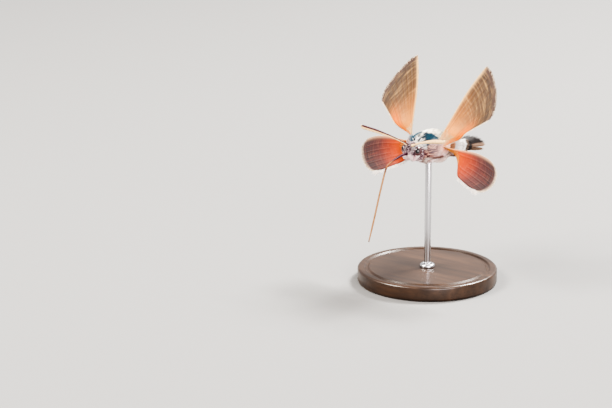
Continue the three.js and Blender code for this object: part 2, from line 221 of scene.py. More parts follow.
class Maker:
    """Makes the nodes of one material."""

    def __init__(self, name):
        self.material = bpy.data.materials.new(name)
        self.material.use_nodes = True
        self.tree = self.material.node_tree
        self.surface = self.tree.nodes["Principled BSDF"]

    def make(self, kind, settings=None, values=None, output=0):
        node = self.tree.nodes.new(kind)
        for name, value in (settings or {}).items():
            if name == "stops":
                self.set_stops(node.color_ramp, value)
            else:
                setattr(node, name, value)
        for key, value in (values or {}).items():
            self.feed(node.inputs[key], value)
        return Wire(self, node.outputs[output])

    def set_stops(self, ramp, stops):
        while len(ramp.elements) < len(stops):
            ramp.elements.new(0.5)
        for element, (position, colour) in zip(ramp.elements, stops):
            element.position = position
            element.color = (*colour, 1)

    def feed(self, socket, value):
        if isinstance(value, Wire):
            self.tree.links.new(value.socket, socket)
        elif isinstance(value, tuple) and len(value) == 3 and socket.type == "RGBA":
            socket.default_value = (*value, 1)
        else:
            socket.default_value = value

    def object_place(self):
        return self.make("ShaderNodeTexCoord", output="Object")

    def tint(self):
        """The colour that paint has stored."""
        return self.make("ShaderNodeAttribute", {"attribute_name": "tint"}, output="Color")

    def fan(self):
        """A wing's own map: out along its rays, and back across them."""
        return self.make("ShaderNodeUVMap", {"uv_map": "fan"})

    def fan_parts(self):
        fan = self.fan()
        return [self.make("ShaderNodeSeparateXYZ", values={0: fan}, output=i) for i in (0, 1)]

    def stretched(self, place, scale):
        return self.make("ShaderNodeMapping", values={"Vector": place, "Scale": scale})

    def noise(self, scale, detail=3, vector=None, rough=0.5):
        place = vector or self.object_place()
        values = {"Vector": place, "Scale": scale, "Detail": detail, "Roughness": rough}
        return self.make("ShaderNodeTexNoise", values=values)

    def cells(self, scale, output=0):
        values = {"Vector": self.object_place(), "Scale": scale}
        return self.make("ShaderNodeTexVoronoi", values=values, output=output)

    def rise(self, value, start, end):
        return self.make(
            "ShaderNodeMapRange",
            {"interpolation_type": "SMOOTHSTEP"},
            {"Value": value, "From Min": start, "From Max": end},
        )

    def blend(self, share, first, second):
        values = {0: share, 6: first, 7: second}
        return self.make("ShaderNodeMix", {"data_type": "RGBA"}, values, output=2)

    def layered(self, ground, *layers):
        """A colour with others laid over it in turn: each layer is a share and a tint."""
        for share, tint in layers:
            ground = self.blend(share, ground, tint)
        return ground

    def ramp(self, share, stops):
        return self.make("ShaderNodeValToRGB", {"stops": stops}, {0: share})

    def bump(self, height, distance, strength=1.0):
        values = {"Height": height, "Distance": distance, "Strength": strength}
        return self.make("ShaderNodeBump", values=values)

    def finish(self, **values):
        """Feeds the surface: each name is a socket's, with _ for a space."""
        for name, value in values.items():
            self.feed(self.surface.inputs[name.replace("_", " ")], value)
        return self.material


def coat_material(name, roughness=0.75):
    """Fur and scales: the stored tint with a little variation from hair to hair."""
    maker = Maker(name)
    speckle = maker.rise(maker.noise(2600, 2), 0.3, 0.7)
    tint = maker.tint()
    shaded = maker.blend(speckle, tint, maker.blend(0.09, tint, (0.12, 0.09, 0.09)))
    return maker.finish(
        Base_Color=shaded,
        Roughness=roughness,
        Specular_IOR_Level=0.2,
        Sheen_Weight=0.06,
        Sheen_Roughness=0.4,
    )


def skin_material():
    maker = Maker("skin")
    grain = maker.noise(1800, 4)
    tint = maker.tint()
    darker = maker.blend(0.35, tint, (0.05, 0.04, 0.04))
    shaded = maker.blend(maker.rise(grain, 0.3, 0.8), darker, tint)
    return maker.finish(Base_Color=shaded, Roughness=0.85, Normal=maker.bump(grain, 0.0002, 0.8))


def tinted_material(name, roughness, grain_scale, relief):
    """A smooth part: its stored tint, broken up by a fine grain."""
    maker = Maker(name)
    grain = maker.noise(grain_scale, 3)
    shaded = maker.blend(maker.rise(grain, 0.35, 0.75) * 0.3, maker.tint(), (0.04, 0.03, 0.03))
    return maker.finish(
        Base_Color=shaded,
        Roughness=roughness,
        Specular_IOR_Level=0.22,
        Normal=maker.bump(grain, relief),
    )


def eye_material():
    maker = Maker("eye")
    return maker.finish(
        Base_Color=maker.tint(),
        Roughness=0.3,
        Coat_Weight=0.8,
        Coat_Roughness=0.08,
        Normal=maker.bump(maker.cells(16000), 0.00001, 0.4),
    )


def wood_material():
    maker = Maker("dark_wood")
    stretched = maker.stretched(maker.object_place(), (40, 380, 380))
    grain = maker.noise(1, 5, stretched, 0.6)
    pores = maker.noise(6, 2, stretched, 0.5)
    wood = maker.ramp(
        grain,
        [(0.3, (0.022, 0.01, 0.005)), (0.55, (0.05, 0.024, 0.012)), (0.75, (0.085, 0.042, 0.021))],
    )
    return maker.finish(
        Base_Color=maker.blend(maker.rise(pores, 0.62, 0.75) * 0.5, wood, (0.015, 0.008, 0.006)),
        Roughness=0.38,
        Coat_Weight=0.35,
        Coat_Roughness=0.2,
        Normal=maker.bump(grain + pores * 0.5, 0.00003, 0.5),
    )


def steel_material():
    maker = Maker("polished_steel")
    lines = maker.noise(1, 3, maker.stretched(maker.object_place(), (900, 900, 30)))
    rough = maker.rise(lines, 0.2, 0.8) * 0.14 + 0.2
    return maker.finish(Base_Color=(0.62, 0.62, 0.64), Metallic=1.0, Roughness=rough)


# Wings. Their outlines are in shares of LENGTH, and veins are at shares across the rays.
# Each measure is given for the forewing and then for the hindwing.
LENGTH = 23
WING_MEASURES = {
    "root": ((1.9, 3.5, 0.9), (-0.9, 3.7, 0.4)),
    "span": ((-11.9, 6.0, 18.2), (0, 1, -0.07)),
    "chord_at_root": ((-0.86, 0.4, -0.25), (-0.85, 0.1, -0.5)),
    "chord": ((0.15, 0.96, -0.25), (0.21, -0.11, -0.97)),
    "turned_by": (0.3, 0.45),
    "root_chord": (0.1, 0.13),
    "apex": ((1.0, 0.02), (0.68, 0.04)),
    "tornus": ((0.55, 0.42), (0.52, 0.37)),
    "leading_bulge": (0.03, 0.05),
    "margin_bulge": (0.06, 0.09),
    "rounded_apex": (0.012, 0.09),
    "rounded_tornus": (0.06, 0.09),
    "hind_bulge": (-0.022, 0.012),
    "camber": (0.035, 0.03),
    "veins": (
        (0.03, 0.09, 0.17, 0.28, 0.41, 0.55, 0.68, 0.81, 0.95),
        (0.04, 0.18, 0.34, 0.5, 0.66, 0.81, 0.95),
    ),
    "cell": ((0.17, 0.68, 0.46), (0.18, 0.66, 0.5)),
    "vein_mask": (0.009, 0.01),
}
FOREWING, HINDWING = ({key: pair[i] for key, pair in WING_MEASURES.items()} for i in (0, 1))
ROUNDED_SHARE = 0.17
LEADING_POWER = 1.6
ARCH_SHARE = 0.8
WING_ROWS = 120
WING_COLUMNS = 150
MEMBRANE = 0.13
VEIN_HEIGHT = 0.25
VEIN_WIDTH = 0.15


def ray_reach(wing, v):
    """How far a ray reaches of its full length: rays beside a rounded corner are shorter."""
    near_apex = np.maximum(0, 1 - v / ROUNDED_SHARE) ** 2
    near_tornus = np.maximum(0, 1 - (1 - v) / ROUNDED_SHARE) ** 2
    return 1 - wing["rounded_apex"] * near_apex - wing["rounded_tornus"] * near_tornus


def wing_point(wing, ray_share, v):
    """The wing's middle surface: ray_share runs out from its root, v back across its rays."""
    u = np.maximum(ray_share, 0) * ray_reach(wing, v)
    apex = np.array(wing["apex"]) * LENGTH
    tornus = np.array(wing["tornus"]) * LENGTH
    outer_x = apex[0] + (tornus[0] - apex[0]) * v
    outer_y = apex[1] + (tornus[1] - apex[1]) * v
    edge = (tornus - apex) / np.linalg.norm(tornus - apex)
    bulge = wing["margin_bulge"] * LENGTH * 4 * v * (1 - v)
    x = u * (outer_x + edge[1] * bulge)
    margin = outer_y - edge[0] * bulge
    leading = -wing["leading_bulge"] * LENGTH * np.sin(np.pi * u**LEADING_POWER) * (1 - v) ** 2
    hind = wing["hind_bulge"] * LENGTH * np.sin(np.pi * u) * v**3
    start = v * wing["root_chord"] * LENGTH
    y = start + (margin - start) * u + leading + hind
    turn = ease(x / apex[0], 0, wing["turned_by"])[..., None]
    chord = unit(unit(wing["chord_at_root"]) * (1 - turn) + unit(wing["chord"]) * turn)
    span = unit(wing["span"])
    face = unit(np.cross(span, chord))
    arch = wing["camber"] * LENGTH * np.sin(np.pi * v) * np.sin(np.pi * u * ARCH_SHARE)
    flat = np.array(wing["root"]) + span * x[..., None] + chord * y[..., None]
    return flat + face * arch[..., None]


def vein_share(wing, u, v):
    """1 on a vein's line, falling to 0 beside it. No vein crosses the cell: a bar closes it."""
    cell_from, cell_to, cell_end = wing["cell"]
    width_across = LENGTH * 0.5 * np.maximum(u, 0.12)
    share = np.zeros_like(u)
    for vein in wing["veins"]:
        line = np.exp(-((np.abs(v - vein) * width_across / VEIN_WIDTH) ** 2))
        if cell_from < vein < cell_to:
            line = line * ease(u, cell_end - 0.01, cell_end + 0.02)
        share = np.maximum(share, line)
    away = np.abs(u - cell_end - 0.05 * np.sin((v - cell_from) * 6)) * LENGTH / VEIN_WIDTH
    bar = np.exp(-(away**2)) * (v > cell_from) * (v < cell_to)
    return np.maximum(share, bar)


def wing_piece(name, wing, side, below, above):
    """One wing: a fine grid laid on the wing's middle surface, thickened, with raised veins."""
    bpy.ops.mesh.primitive_grid_add(x_subdivisions=WING_ROWS, y_subdivisions=WING_COLUMNS, size=2)
    piece = bpy.context.object
    piece.name = name
    piece.data.uv_layers[0].name = "fan"
    flat = vertex_vectors(piece, "co")
    u, v = (np.clip((flat[:, axis] + 1) / 2, 0, 1) for axis in (0, 1))
    move_vertices(piece, mirror_spots(wing_point(wing, u, v), side))
    if side > 0:
        piece.data.flip_normals()
    piece.data.materials.append(below)
    piece.data.materials.append(above)
    rise = vein_share(wing, u, v) * (1 - 0.8 * ease(u, 0.9, 1))
    share = MEMBRANE / VEIN_HEIGHT * (1 - 0.5 * ease(u, 0.85, 1))
    wall = piece.vertex_groups.new(name="wall")
    for i, weight in enumerate(share + (1 - share) * rise):
        wall.add([i], float(weight), "REPLACE")
    apply_modifier(
        piece,
        "SOLIDIFY",
        thickness=VEIN_HEIGHT * MM,
        offset=0,
        vertex_group="wall",
        material_offset=1,
        material_offset_rim=1,
    )
    shade_smooth(piece)
    return piece


# The grounds of the wings, from root to margin, but from dark to pale on the forewing's top
FOREWING_BELOW = [
    # Painted glow: the cream at the root stands for light shining through the wing
    (0.0, (1.0, 0.78, 0.5)),
    (0.2, (0.83, 0.35, 0.095)),
    (0.42, (0.38, 0.155, 0.044)),
    (0.68, (0.14, 0.07, 0.03)),
    (0.93, (0.068, 0.043, 0.028)),
]
FOREWING_ABOVE = [
    (0.3, (0.17, 0.135, 0.105)),
    (0.52, (0.31, 0.26, 0.205)),
    (0.7, (0.46, 0.4, 0.33)),
]
HINDWING_BELOW = [
    (0.02, (1.0, 0.5, 0.16)),
    (0.2, (0.8, 0.145, 0.028)),
    (0.45, (0.45, 0.07, 0.028)),
    (0.7, (0.13, 0.048, 0.047)),
    (0.93, (0.06, 0.042, 0.046)),
]
HINDWING_ABOVE = [
    (0.02, (0.22, 0.11, 0.055)),
    (0.22, (0.82, 0.2, 0.02)),
    (0.6, (0.72, 0.14, 0.015)),
    (0.78, (0.13, 0.045, 0.022)),
    (0.95, (0.075, 0.03, 0.02)),
]
GOLD = (0.62, 0.37, 0.14)
FLAME = (0.9, 0.2, 0.01)
STRAW_GLOW = (0.85, 0.55, 0.25)
EMBER = (0.5, 0.08, 0.04)
SALMON = (0.75, 0.33, 0.18)
FRONT_RIM = (0.8, 0.5, 0.32)
OUTER_RIM = (0.5, 0.36, 0.3)
DUSKY_BORDER = (0.09, 0.05, 0.045)
GREY_BROWN = (0.13, 0.09, 0.07)
TAN_VEIN = (0.16, 0.075, 0.035)
PALE_VEIN = (0.5, 0.42, 0.33)
RED_VEIN = (0.2, 0.08, 0.05)
DARK_LINE = (0.055, 0.042, 0.036)
DARK_SPOT = (0.02, 0.015, 0.015)
SCALE_SHADE = (0.1, 0.06, 0.05)
# The forewing's cross lines: how far out each one is, its half width and its strength
CROSS_LINES = [(0.3, 0.03, 0.85), (0.62, 0.034, 0.9), (0.7, 0.018, 0.5)]


def streaked(maker, across, along):
    """Noise drawn out along the wing's rays, as rows of scales are."""
    return maker.noise(1, 4, maker.stretched(maker.fan(), (along, across, 1)), 0.6)


def on_veins(maker, wing, u, v):
    """A mask of the wing's veins for its colours."""
    cell_from, cell_to, cell_end = wing["cell"]
    width = wing["vein_mask"]
    reach = u.larger(0.15)
    past_cell = maker.rise(u, cell_end - 0.08, cell_end + 0.08)
    mask = None
    for vein in wing["veins"]:
        line = maker.rise(abs(v - vein) * reach, width, width * 0.35)
        if cell_from < vein < cell_to:
            line = line * past_cell
        mask = line if mask is None else mask.larger(line)
    return mask


def wing_finish(maker, colour, streaks, roughness):
    """The shared surface of a wing: a fine shingle of scales that catch the light a little."""
    scales = 7000
    height = maker.cells(scales)
    shade = maker.make("ShaderNodeSeparateColor", values={0: maker.cells(scales, "Color")})
    return maker.finish(
        Base_Color=maker.blend(maker.rise(shade, 0.2, 1.0) * 0.16, colour, SCALE_SHADE),
        Roughness=roughness,
        Specular_IOR_Level=0.3,
        Normal=maker.bump(height * 0.6 + streaks * 0.5, 0.00005, 0.5),
    )


def forewing_below():
    """The forewing's underside: cream and peach at the root, golden tan, then olive brown; the
    cream root and straw front edge are a painted glow of light shining through.
    """
    maker = Maker("forewing_below")
    u, v = maker.fan_parts()
    streaks = streaked(maker, 46, 7)
    clouds = maker.noise(190, 3)
    arcs = maker.rise(streaked(maker, 2.6, 30), 0.46, 0.7) * maker.rise(u, 0.25, 0.65)
    hind = maker.rise(v, 0.5, 1.0) * maker.rise(u, 0.8, 0.35)
    border = maker.rise(u + (clouds - 0.5) * 0.05, 0.93, 0.985)
    colour = maker.layered(
        maker.ramp(u + (clouds - 0.5) * 0.2 + (streaks - 0.5) * 0.16, FOREWING_BELOW),
        (arcs * 0.4, GOLD),
        (hind * 0.8, FLAME),
        # Painted glow of light shining through along the front edge
        (maker.rise(v, 0.07, 0.01) * 0.65, STRAW_GLOW),
        (on_veins(maker, FOREWING, u, v) * 0.3, TAN_VEIN),
        (border * 0.5, DUSKY_BORDER),
    )
    return wing_finish(maker, colour, streaks, 0.6)


def forewing_above():
    """The upper side: grey-brown with dark wavy cross lines and a small dark spot."""
    maker = Maker("forewing_above")
    u, v = maker.fan_parts()
    streaks = streaked(maker, 60, 12)
    clouds = maker.noise(230, 4)
    wavy = u + (v * 14).sine() * 0.025 + (clouds - 0.5) * 0.08
    cross_lines = [
        (maker.rise(abs(wavy - out), width, width * 0.3) * strength, DARK_LINE)
        for out, width, strength in CROSS_LINES
    ]
    from_spot = ((u - 0.47) ** 2 * 3 + (v - 0.2) ** 2) ** 0.5
    colour = maker.layered(
        maker.ramp(clouds * 0.6 + streaks * 0.4, FOREWING_ABOVE),
        *cross_lines,
        (maker.rise(u, 0.72, 0.98) * 0.5, GREY_BROWN),
        (maker.rise(from_spot, 0.032, 0.02), DARK_SPOT),
        (on_veins(maker, FOREWING, u, v) * 0.25, PALE_VEIN),
    )
    return wing_finish(maker, colour, streaks, 0.7)


def hindwing_finish(name, stops):
    """Orange that turns brown outward, streaked along its rays, with a pale front rim."""
    maker = Maker(name)
    u, v = maker.fan_parts()
    streaks = streaked(maker, 34, 3)
    arcs = streaked(maker, 3, 50)
    clouds = maker.noise(220, 3)
    colour = maker.layered(
        maker.ramp(u + (clouds - 0.5) * 0.16 + (streaks - 0.5) * 0.2, stops),
        (maker.rise(streaks, 0.5, 0.75) * 0.3, EMBER),
        (maker.rise(arcs, 0.45, 0.75) * 0.12, SALMON),
        (maker.rise(v, 0.1, 0.0) * 0.45, FRONT_RIM),
        (on_veins(maker, HINDWING, u, v) * 0.2, RED_VEIN),
        (maker.rise(u, 0.965, 0.995) * 0.35, OUTER_RIM),
    )
    return wing_finish(maker, colour, streaks, 0.6)


# Tufts. A tuft is darker at its root, as painted shade deep in the coat, has a raised ridge
# along its middle and a paler tip, and takes up a small patch of the bake map.
RIDGE = 0.9
ROOT_SHADE = 0.6
PALE_TIP = np.array([1.0, 0.98, 0.93])
TIP_SHARE = 0.3
PATCH = 0.003
MAP_EDGE = 0.02
MAP_SPAN = 0.95


def tufts(name, roots, normals, along, length, width, colours, lift, patch, stations=3, depth=0.12):
    """Many thin, curved, tapering tufts as one mesh.

    Each stands at its root, leans along the coat's lie and is raised by the angle lift, which
    it loses again towards its tip. patch is each root's place on the bake map, and depth is
    how far below the surface it starts.
    """
    count = len(roots)
    normals = unit(normals)
    flow = unit(along - normals * (along * normals).sum(1, keepdims=True))
    across = np.cross(normals, flow)
    spot = roots - normals * depth
    rings = []
    for i in range(stations):
        share = i / (stations - 1)
        rings.append(spot)
        angle = (lift * (1 - share))[:, None]
        step = flow * np.cos(angle) + normals * np.sin(angle)
        spot = spot + step * (length / (stations - 1))[:, None]
    points = []
    shares = []
    for i in range(stations - 1):
        share = i / (stations - 1)
        half = (width / 2 * (0.8 + 0.6 * share) * (1 - share**3))[:, None]
        points += [rings[i] - across * half, rings[i] + across * half]
        points.append(rings[i] + normals * half * RIDGE)
        shares += [share] * 3
    points = np.stack(points + [rings[-1]], 1)
    shares = np.array(shares + [1.0])
    faces = [[0, 2, 1]]
    for i in range(stations - 2):
        for j in range(3):
            a, b = 3 * i + j, 3 * i + (j + 1) % 3
            faces += [[a, b, b + 3], [a, b + 3, a + 3]]
    last = 3 * (stations - 2)
    tip = last + 3
    faces += [[last, last + 1, tip], [last + 1, last + 2, tip], [last + 2, last, tip]]
    corners = points.shape[1]
    triangles = (np.array(faces)[None] + corners * np.arange(count)[:, None, None]).reshape(-1, 3)
    thing = mesh_from(name, placed(points.reshape(-1, 3)), triangles)
    # Painted shade: each tuft darkens towards its root, deep in the coat
    tinted = colours[:, None] * (ROOT_SHADE + (1 - ROOT_SHADE) * shares)[None, :, None]
    tinted = tinted + (PALE_TIP - tinted) * (TIP_SHARE * shares**2)[None, :, None] * tinted
    paint(thing, tinted.reshape(-1, 3))
    places = patch[:, None] + np.stack([np.arange(corners) % 3 / 2, shares], 1) * PATCH
    flat_places = places.reshape(-1, 2)[triangles.ravel()]
    bake_map = thing.data.uv_layers.new(name="OFBake")
    bake_map.data.foreach_set("uv", flat_places.astype(np.float32).ravel())
    return thing


# Body. The fur is COAT deep over its skin, except on the palps and the abdomen.
COAT = 0.5
PALP_COAT = 0.1
ABDOMEN_COAT = 0.4
THORAX = {"centre": (-0.8, 0, -0.1), "half": (5.6, 4.45, 4.2)}
THORAX_POWER = 2.9
THORAX_TAPER = 0.08
THORAX_LIFT = 0.4
HEAD = {"centre": (6.25, 0, 0.05), "half": (2.45, 2.5, 2.4)}
# Smaller masses below the coat: the neck and the mouth, with their half sizes
NECK_MASS = ((4.1, 0, -0.1), (1.6, 2.3, 2.4))
MOUTH_MASS = ((7.8, 0, -0.7), (0.8, 0.9, 0.8))
PALP_BALLS = [
    ((6.9, 0.75, -1.45), 0.6),
    ((7.9, 0.78, -1.2), 0.58),
    ((8.5, 0.78, -0.6), 0.55),
    ((8.62, 0.74, 0.1), 0.4),
]
ABDOMEN_FRONT = -2.8
ABDOMEN_BACK = -16.2
ABDOMEN_LENGTH = ABDOMEN_FRONT - ABDOMEN_BACK
ABDOMEN_HALF = (3.75, 3.35)
ABDOMEN_POWER = 2.6
ABDOMEN_DROOP = 3.4
SEGMENTS = 7
SEGMENT_HALF = 1.95
SKIN_GRAIN = 0.16
# Where the coats of the head, the thorax and the abdomen meet
NECK = 4.6
WAIST = -4.6


def abdomen_share(forward):
    """How far back a place is along the abdomen, from 0 to 1."""
    return (ABDOMEN_FRONT - forward) / ABDOMEN_LENGTH


def abdomen_ring(back):
    """The middle, half width and half height of the abdomen at a share of its length."""
    share = 1 - 2 * back
    radius = np.maximum(0, 1 - np.abs(share) ** ABDOMEN_POWER) ** (1 / ABDOMEN_POWER)
    forward = (ABDOMEN_FRONT + ABDOMEN_BACK) / 2 + share * ABDOMEN_LENGTH / 2
    wide = ABDOMEN_HALF[0] * (1 - 0.36 * back**2.2) * radius
    deep = ABDOMEN_HALF[1] * (1 - 0.42 * back**1.7) * radius
    return forward, -ABDOMEN_DROOP * back**1.5, wide, deep


def segment_edge(back):
    """1 where two segments of the abdomen meet, and 0 in the middle of each."""
    return 0.5 + 0.5 * np.cos(2 * np.pi * back * (SEGMENTS + 1))


def under_body(forward, turn, out):
    """A place on the body's underside, turned from straight below towards the left."""
    if forward < WAIST:
        _, middle, wide, deep = abdomen_ring(abdomen_share(forward))
        radius = 1
    else:
        _, wide, deep = THORAX["half"]
        share = (forward - THORAX["centre"][0]) / THORAX["half"][0]
        radius = (1 - abs(share) ** THORAX_POWER) ** (1 / THORAX_POWER)
        wide = wide * (1 - THORAX_TAPER * share)
        middle = THORAX["centre"][2] + THORAX_LIFT * share * share
    angle = math.radians(turn - 90)
    left = math.cos(angle) * radius * (wide + out)
    return (forward, left, math.sin(angle) * radius * (deep + out) + middle)


def ball(centre, half, segments=40, rings=28):
    bpy.ops.mesh.primitive_uv_sphere_add(segments=segments, ring_count=rings, radius=1)
    thing = bpy.context.object
    thing.scale = Vector((half[1], half[0], half[2])) * MM
    thing.location = Vector(placed(centre))
    apply_place(thing)
    return thing


def thorax_mass():
    """The thorax under its fur: a ball made blunter along its length, with its ends raised."""
    thing = ball((0, 0, 0), (1, 1, 1), 64, 48)
    points = vertex_places(thing)
    share = np.sign(points[:, 0]) * np.abs(points[:, 0]) ** (2 / THORAX_POWER)
    wide = points[:, 1] * (1 - THORAX_TAPER * share)
    half = np.array(THORAX["half"]) - COAT
    spots = np.array(THORAX["centre"]) + np.stack([share, wide, points[:, 2]], 1) * half
    spots[:, 2] += THORAX_LIFT * share * share
    move_vertices(thing, spots)
    return thing


def body_skin():
    """The body under its fur: rounded masses grown into one skin from palps to tail."""
    masses = [thorax_mass()]
    masses.append(ball(HEAD["centre"], [half - COAT for half in HEAD["half"]]))
    masses += [ball(*NECK_MASS), ball(*MOUTH_MASS)]
    for (forward, left, up), radius in PALP_BALLS:
        for side, _ in SIDES:
            masses.append(ball((forward, side * left, up), [radius - PALP_COAT] * 3, 20, 14))
    for i in range(SEGMENTS + 1):
        forward, droop, wide, deep = abdomen_ring((i + 0.5) / (SEGMENTS + 1))
        half = (SEGMENT_HALF, wide - ABDOMEN_COAT, deep - ABDOMEN_COAT)
        masses.append(ball((forward, 0, droop), half))
    skin = joined(*masses)
    skin.name = "body_skin"
    apply_modifier(skin, "REMESH", mode="VOXEL", voxel_size=SKIN_GRAIN * MM)
    apply_modifier(skin, "SMOOTH", factor=0.6, iterations=5)
    shade_smooth(skin)
    return skin


# Markings of the coat
CREAM = (0.95, 0.91, 0.8)
PEARL = (0.93, 0.74, 0.75)
BLUSH = (0.95, 0.57, 0.58)
PEACH = (0.93, 0.47, 0.34)
# Painted shade: these two slate tints stand for the shaded front of the thorax, with a blue
# reflected cast
SLATE_SHADE = (0.0, 0.06, 0.105)
DEEP_SLATE_SHADE = (0.003, 0.016, 0.035)
OLIVE = (0.34, 0.3, 0.22)
MAUVE = (0.27, 0.15, 0.19)
HATCH = (0.085, 0.028, 0.05)
PLUM = (0.055, 0.022, 0.04)
RUST = (0.42, 0.22, 0.13)
FAWN = (0.5, 0.4, 0.33)
UMBER = (0.13, 0.095, 0.075)
WHITE = (0.98, 0.96, 0.93)
BLACK = (0.02, 0.016, 0.016)
# The slate patch on each side of the thorax, painted shade with a blue reflected cast:
# its middle, its long direction and half sizes
SHADE_PATCH_MIDDLE = (2.6, 1.95)
SHADE_PATCH_ALONG = (-0.6, 0.8)
SHADE_PATCH_HALF = (3.1, 1.95)
# The white marks on each side of the abdomen: how far back and how high each one is
SIDE_MARKS = ((0.38, 1.2), (0.54, 0.3))


def eye_distance(spots):
    """How far a place is from the nearer eye's middle, where 1 is on the eye's surface."""
    near_side = np.stack([spots[:, 0], np.abs(spots[:, 1]), spots[:, 2]], 1)
    return np.linalg.norm((near_side - EYE_CENTRE) / EYE_HALF, axis=1)


def mottle(spots, fineness):
    """A soft irregular pattern from 0 to 1 over the body."""
    x, y, z = (spots * fineness).T
    waves = np.sin(1.7 * x + 2.3 * np.sin(y * 1.1)) + np.sin(2.1 * y - 1.3 * z + np.sin(x * 1.9))
    return 0.5 + (waves + np.sin(1.9 * z + 1.5 * x + 1.7 * np.sin(y * 0.8))) / 6


def streaks_of(spots, along, across, fineness):
    """The same pattern, drawn out along the body."""
    return mottle(spots * np.array([along, across, across]), fineness)


def hatching(spots):
    """Short broken lines of dark and pale fur on the cheeks and the neck, from 0 to 1."""
    fine = streaks_of(spots, 0.5, 1.25, 6.4)
    return ease(fine + 0.2 * (mottle(spots, 2.1) - 0.5), 0.5, 0.58)


class Places:
    """Places on the coat: how far forward, beside and above the body's middle each one is,
    and how far up the coat faces there.
    """

    def __init__(self, spots, normals):
        self.spots = spots
        self.forward, self.side, self.up = spots[:, 0], np.abs(spots[:, 1]), spots[:, 2]
        self.facing = normals[:, 2]

    def area(self, **measures):
        """A mask with soft edges: each measure gives where it starts and where it is full."""
        share = 1.0
        for name, (start, full) in measures.items():
            share = share * ease(getattr(self, name), start, full)
        return share


def head_markings(at):
    patchy = mottle(at.spots, 3.1)
    crest_tint = mix(PLUM, PEARL, 0.8 * ease(mottle(at.spots, 6.0), 0.56, 0.72))
    brow = np.hypot((at.forward - 7.5) / 0.5, (at.side - 1.25) / 0.3)
    frons = at.area(forward=(7.5, 8.2), up=(-0.6, 0.1))
    cheek_front = at.forward + 0.5 * at.area(up=(-1.0, -1.8))
    cheek = at.area(up=(0.0, -0.7)) * ease(cheek_front, 5.4, 6.1)
    ring = ease(eye_distance(at.spots), 1.2, 1.12)
    palp_tint = mix(mix(BLUSH, WHITE, 0.55), MAUVE, 0.8 * at.area(up=(-0.5, 0.2)))
    return layered(
        mix(HATCH, PEARL, 0.03 + 0.85 * hatching(at.spots)),
        # Painted light: cream on the up-facing back of the head, where the light from above falls
        (0.9 * at.area(forward=(6.1, 5.1), facing=(0.35, 0.75)), CREAM),
        (0.9 * at.area(forward=(6.3, 7.0), up=(0.7, 1.2), side=(1.5, 0.9)), crest_tint),
        (0.8 * ease(brow, 1.2, 0.7) * at.area(up=(0.2, 0.8)), WHITE),
        (0.85 * frons * ease(patchy, 0.15, 0.5), PLUM),
        (0.9 * cheek, mix(BLUSH, WHITE, 0.65 * ease(patchy, 0.3, 0.6))),
        (0.75 * at.area(forward=(6.9, 7.4), up=(-0.6, 0.2), side=(0.9, 1.3)), PLUM),
        (0.5 * ring * at.area(forward=(7.4, 6.6)), WHITE),
        (at.area(forward=(7.6, 8.2), side=(0.25, 0.45), up=(0.6, 0.2)), palp_tint),
    )


def painted_shade_patch(at, streaky):
    """Where the slate patch of painted shade is and its tint, darker near the middle: white curls
    break it up at its front end.
    """
    forward, side = at.forward - SHADE_PATCH_MIDDLE[0], at.side - SHADE_PATCH_MIDDLE[1]
    lengthwise = forward * SHADE_PATCH_ALONG[0] + side * SHADE_PATCH_ALONG[1]
    crosswise = forward * SHADE_PATCH_ALONG[1] - side * SHADE_PATCH_ALONG[0]
    out = np.hypot(lengthwise / SHADE_PATCH_HALF[0], crosswise / SHADE_PATCH_HALF[1])
    patch = ease(out + 0.25 * (streaky - 0.5), 1.0, 0.85)
    share = patch * at.area(up=(0.8, 1.6), side=(0.05, 0.3))
    curls = ease(lengthwise, -0.8, -1.6) * ease(mottle(at.spots, 3.6), 0.52, 0.62)
    return 0.97 * share * (1 - 0.9 * curls), mix(SLATE_SHADE, DEEP_SLATE_SHADE, 0.7 * at.area(side=(1.3, 0.6)))


def thorax_markings(at):
    streaky = streaks_of(at.spots, 0.5, 2.2, 2.6)
    # Painted light: the up-facing back is olive fur painted mostly cream where the light from above
    # falls, more olive towards the rear
    back = layered(
        mix(OLIVE, CREAM, 0.3 + 0.7 * ease(streaky, 0.25, 0.6)),
        (0.9 * at.area(forward=(-1.4, -3.6)), mix(OLIVE, CREAM, 0.4 * streaky)),
    )
    flank = layered(
        mix(MAUVE, PEACH, 0.6 + 0.4 * ease(streaky, 0.2, 0.45)),
        (0.05 + 0.4 * ease(streaky, 0.45, 0.75), WHITE),
    )
    belly = layered(
        mix(BLUSH, WHITE, 0.35 + 0.6 * ease(streaky, 0.35, 0.65)),
        (0.75 * ease(streaks_of(at.spots, 0.22, 1.4, 2.9), 0.31, 0.23), HATCH),
    )
    neck = at.area(forward=(1.9, 3.0), facing=(0.75, 0.5)) * at.area(facing=(-0.85, -0.6))
    neck_tint = mix(HATCH, mix(PEACH, WHITE, 0.1), 0.03 + 0.9 * hatching(at.spots))
    return layered(
        flank,
        (at.area(facing=(0.15, 0.6)), back),
        (at.area(facing=(-0.1, -0.55)), belly),
        (0.97 * neck, neck_tint),
        # Painted light: white on the up-facing collar, where the light from above falls brightest
        (0.9 * at.area(forward=(3.4, 4.0), facing=(0.1, 0.5)), WHITE),
        # Painted shade with a blue reflected cast on the front of the back
        painted_shade_patch(at, streaky),
    )


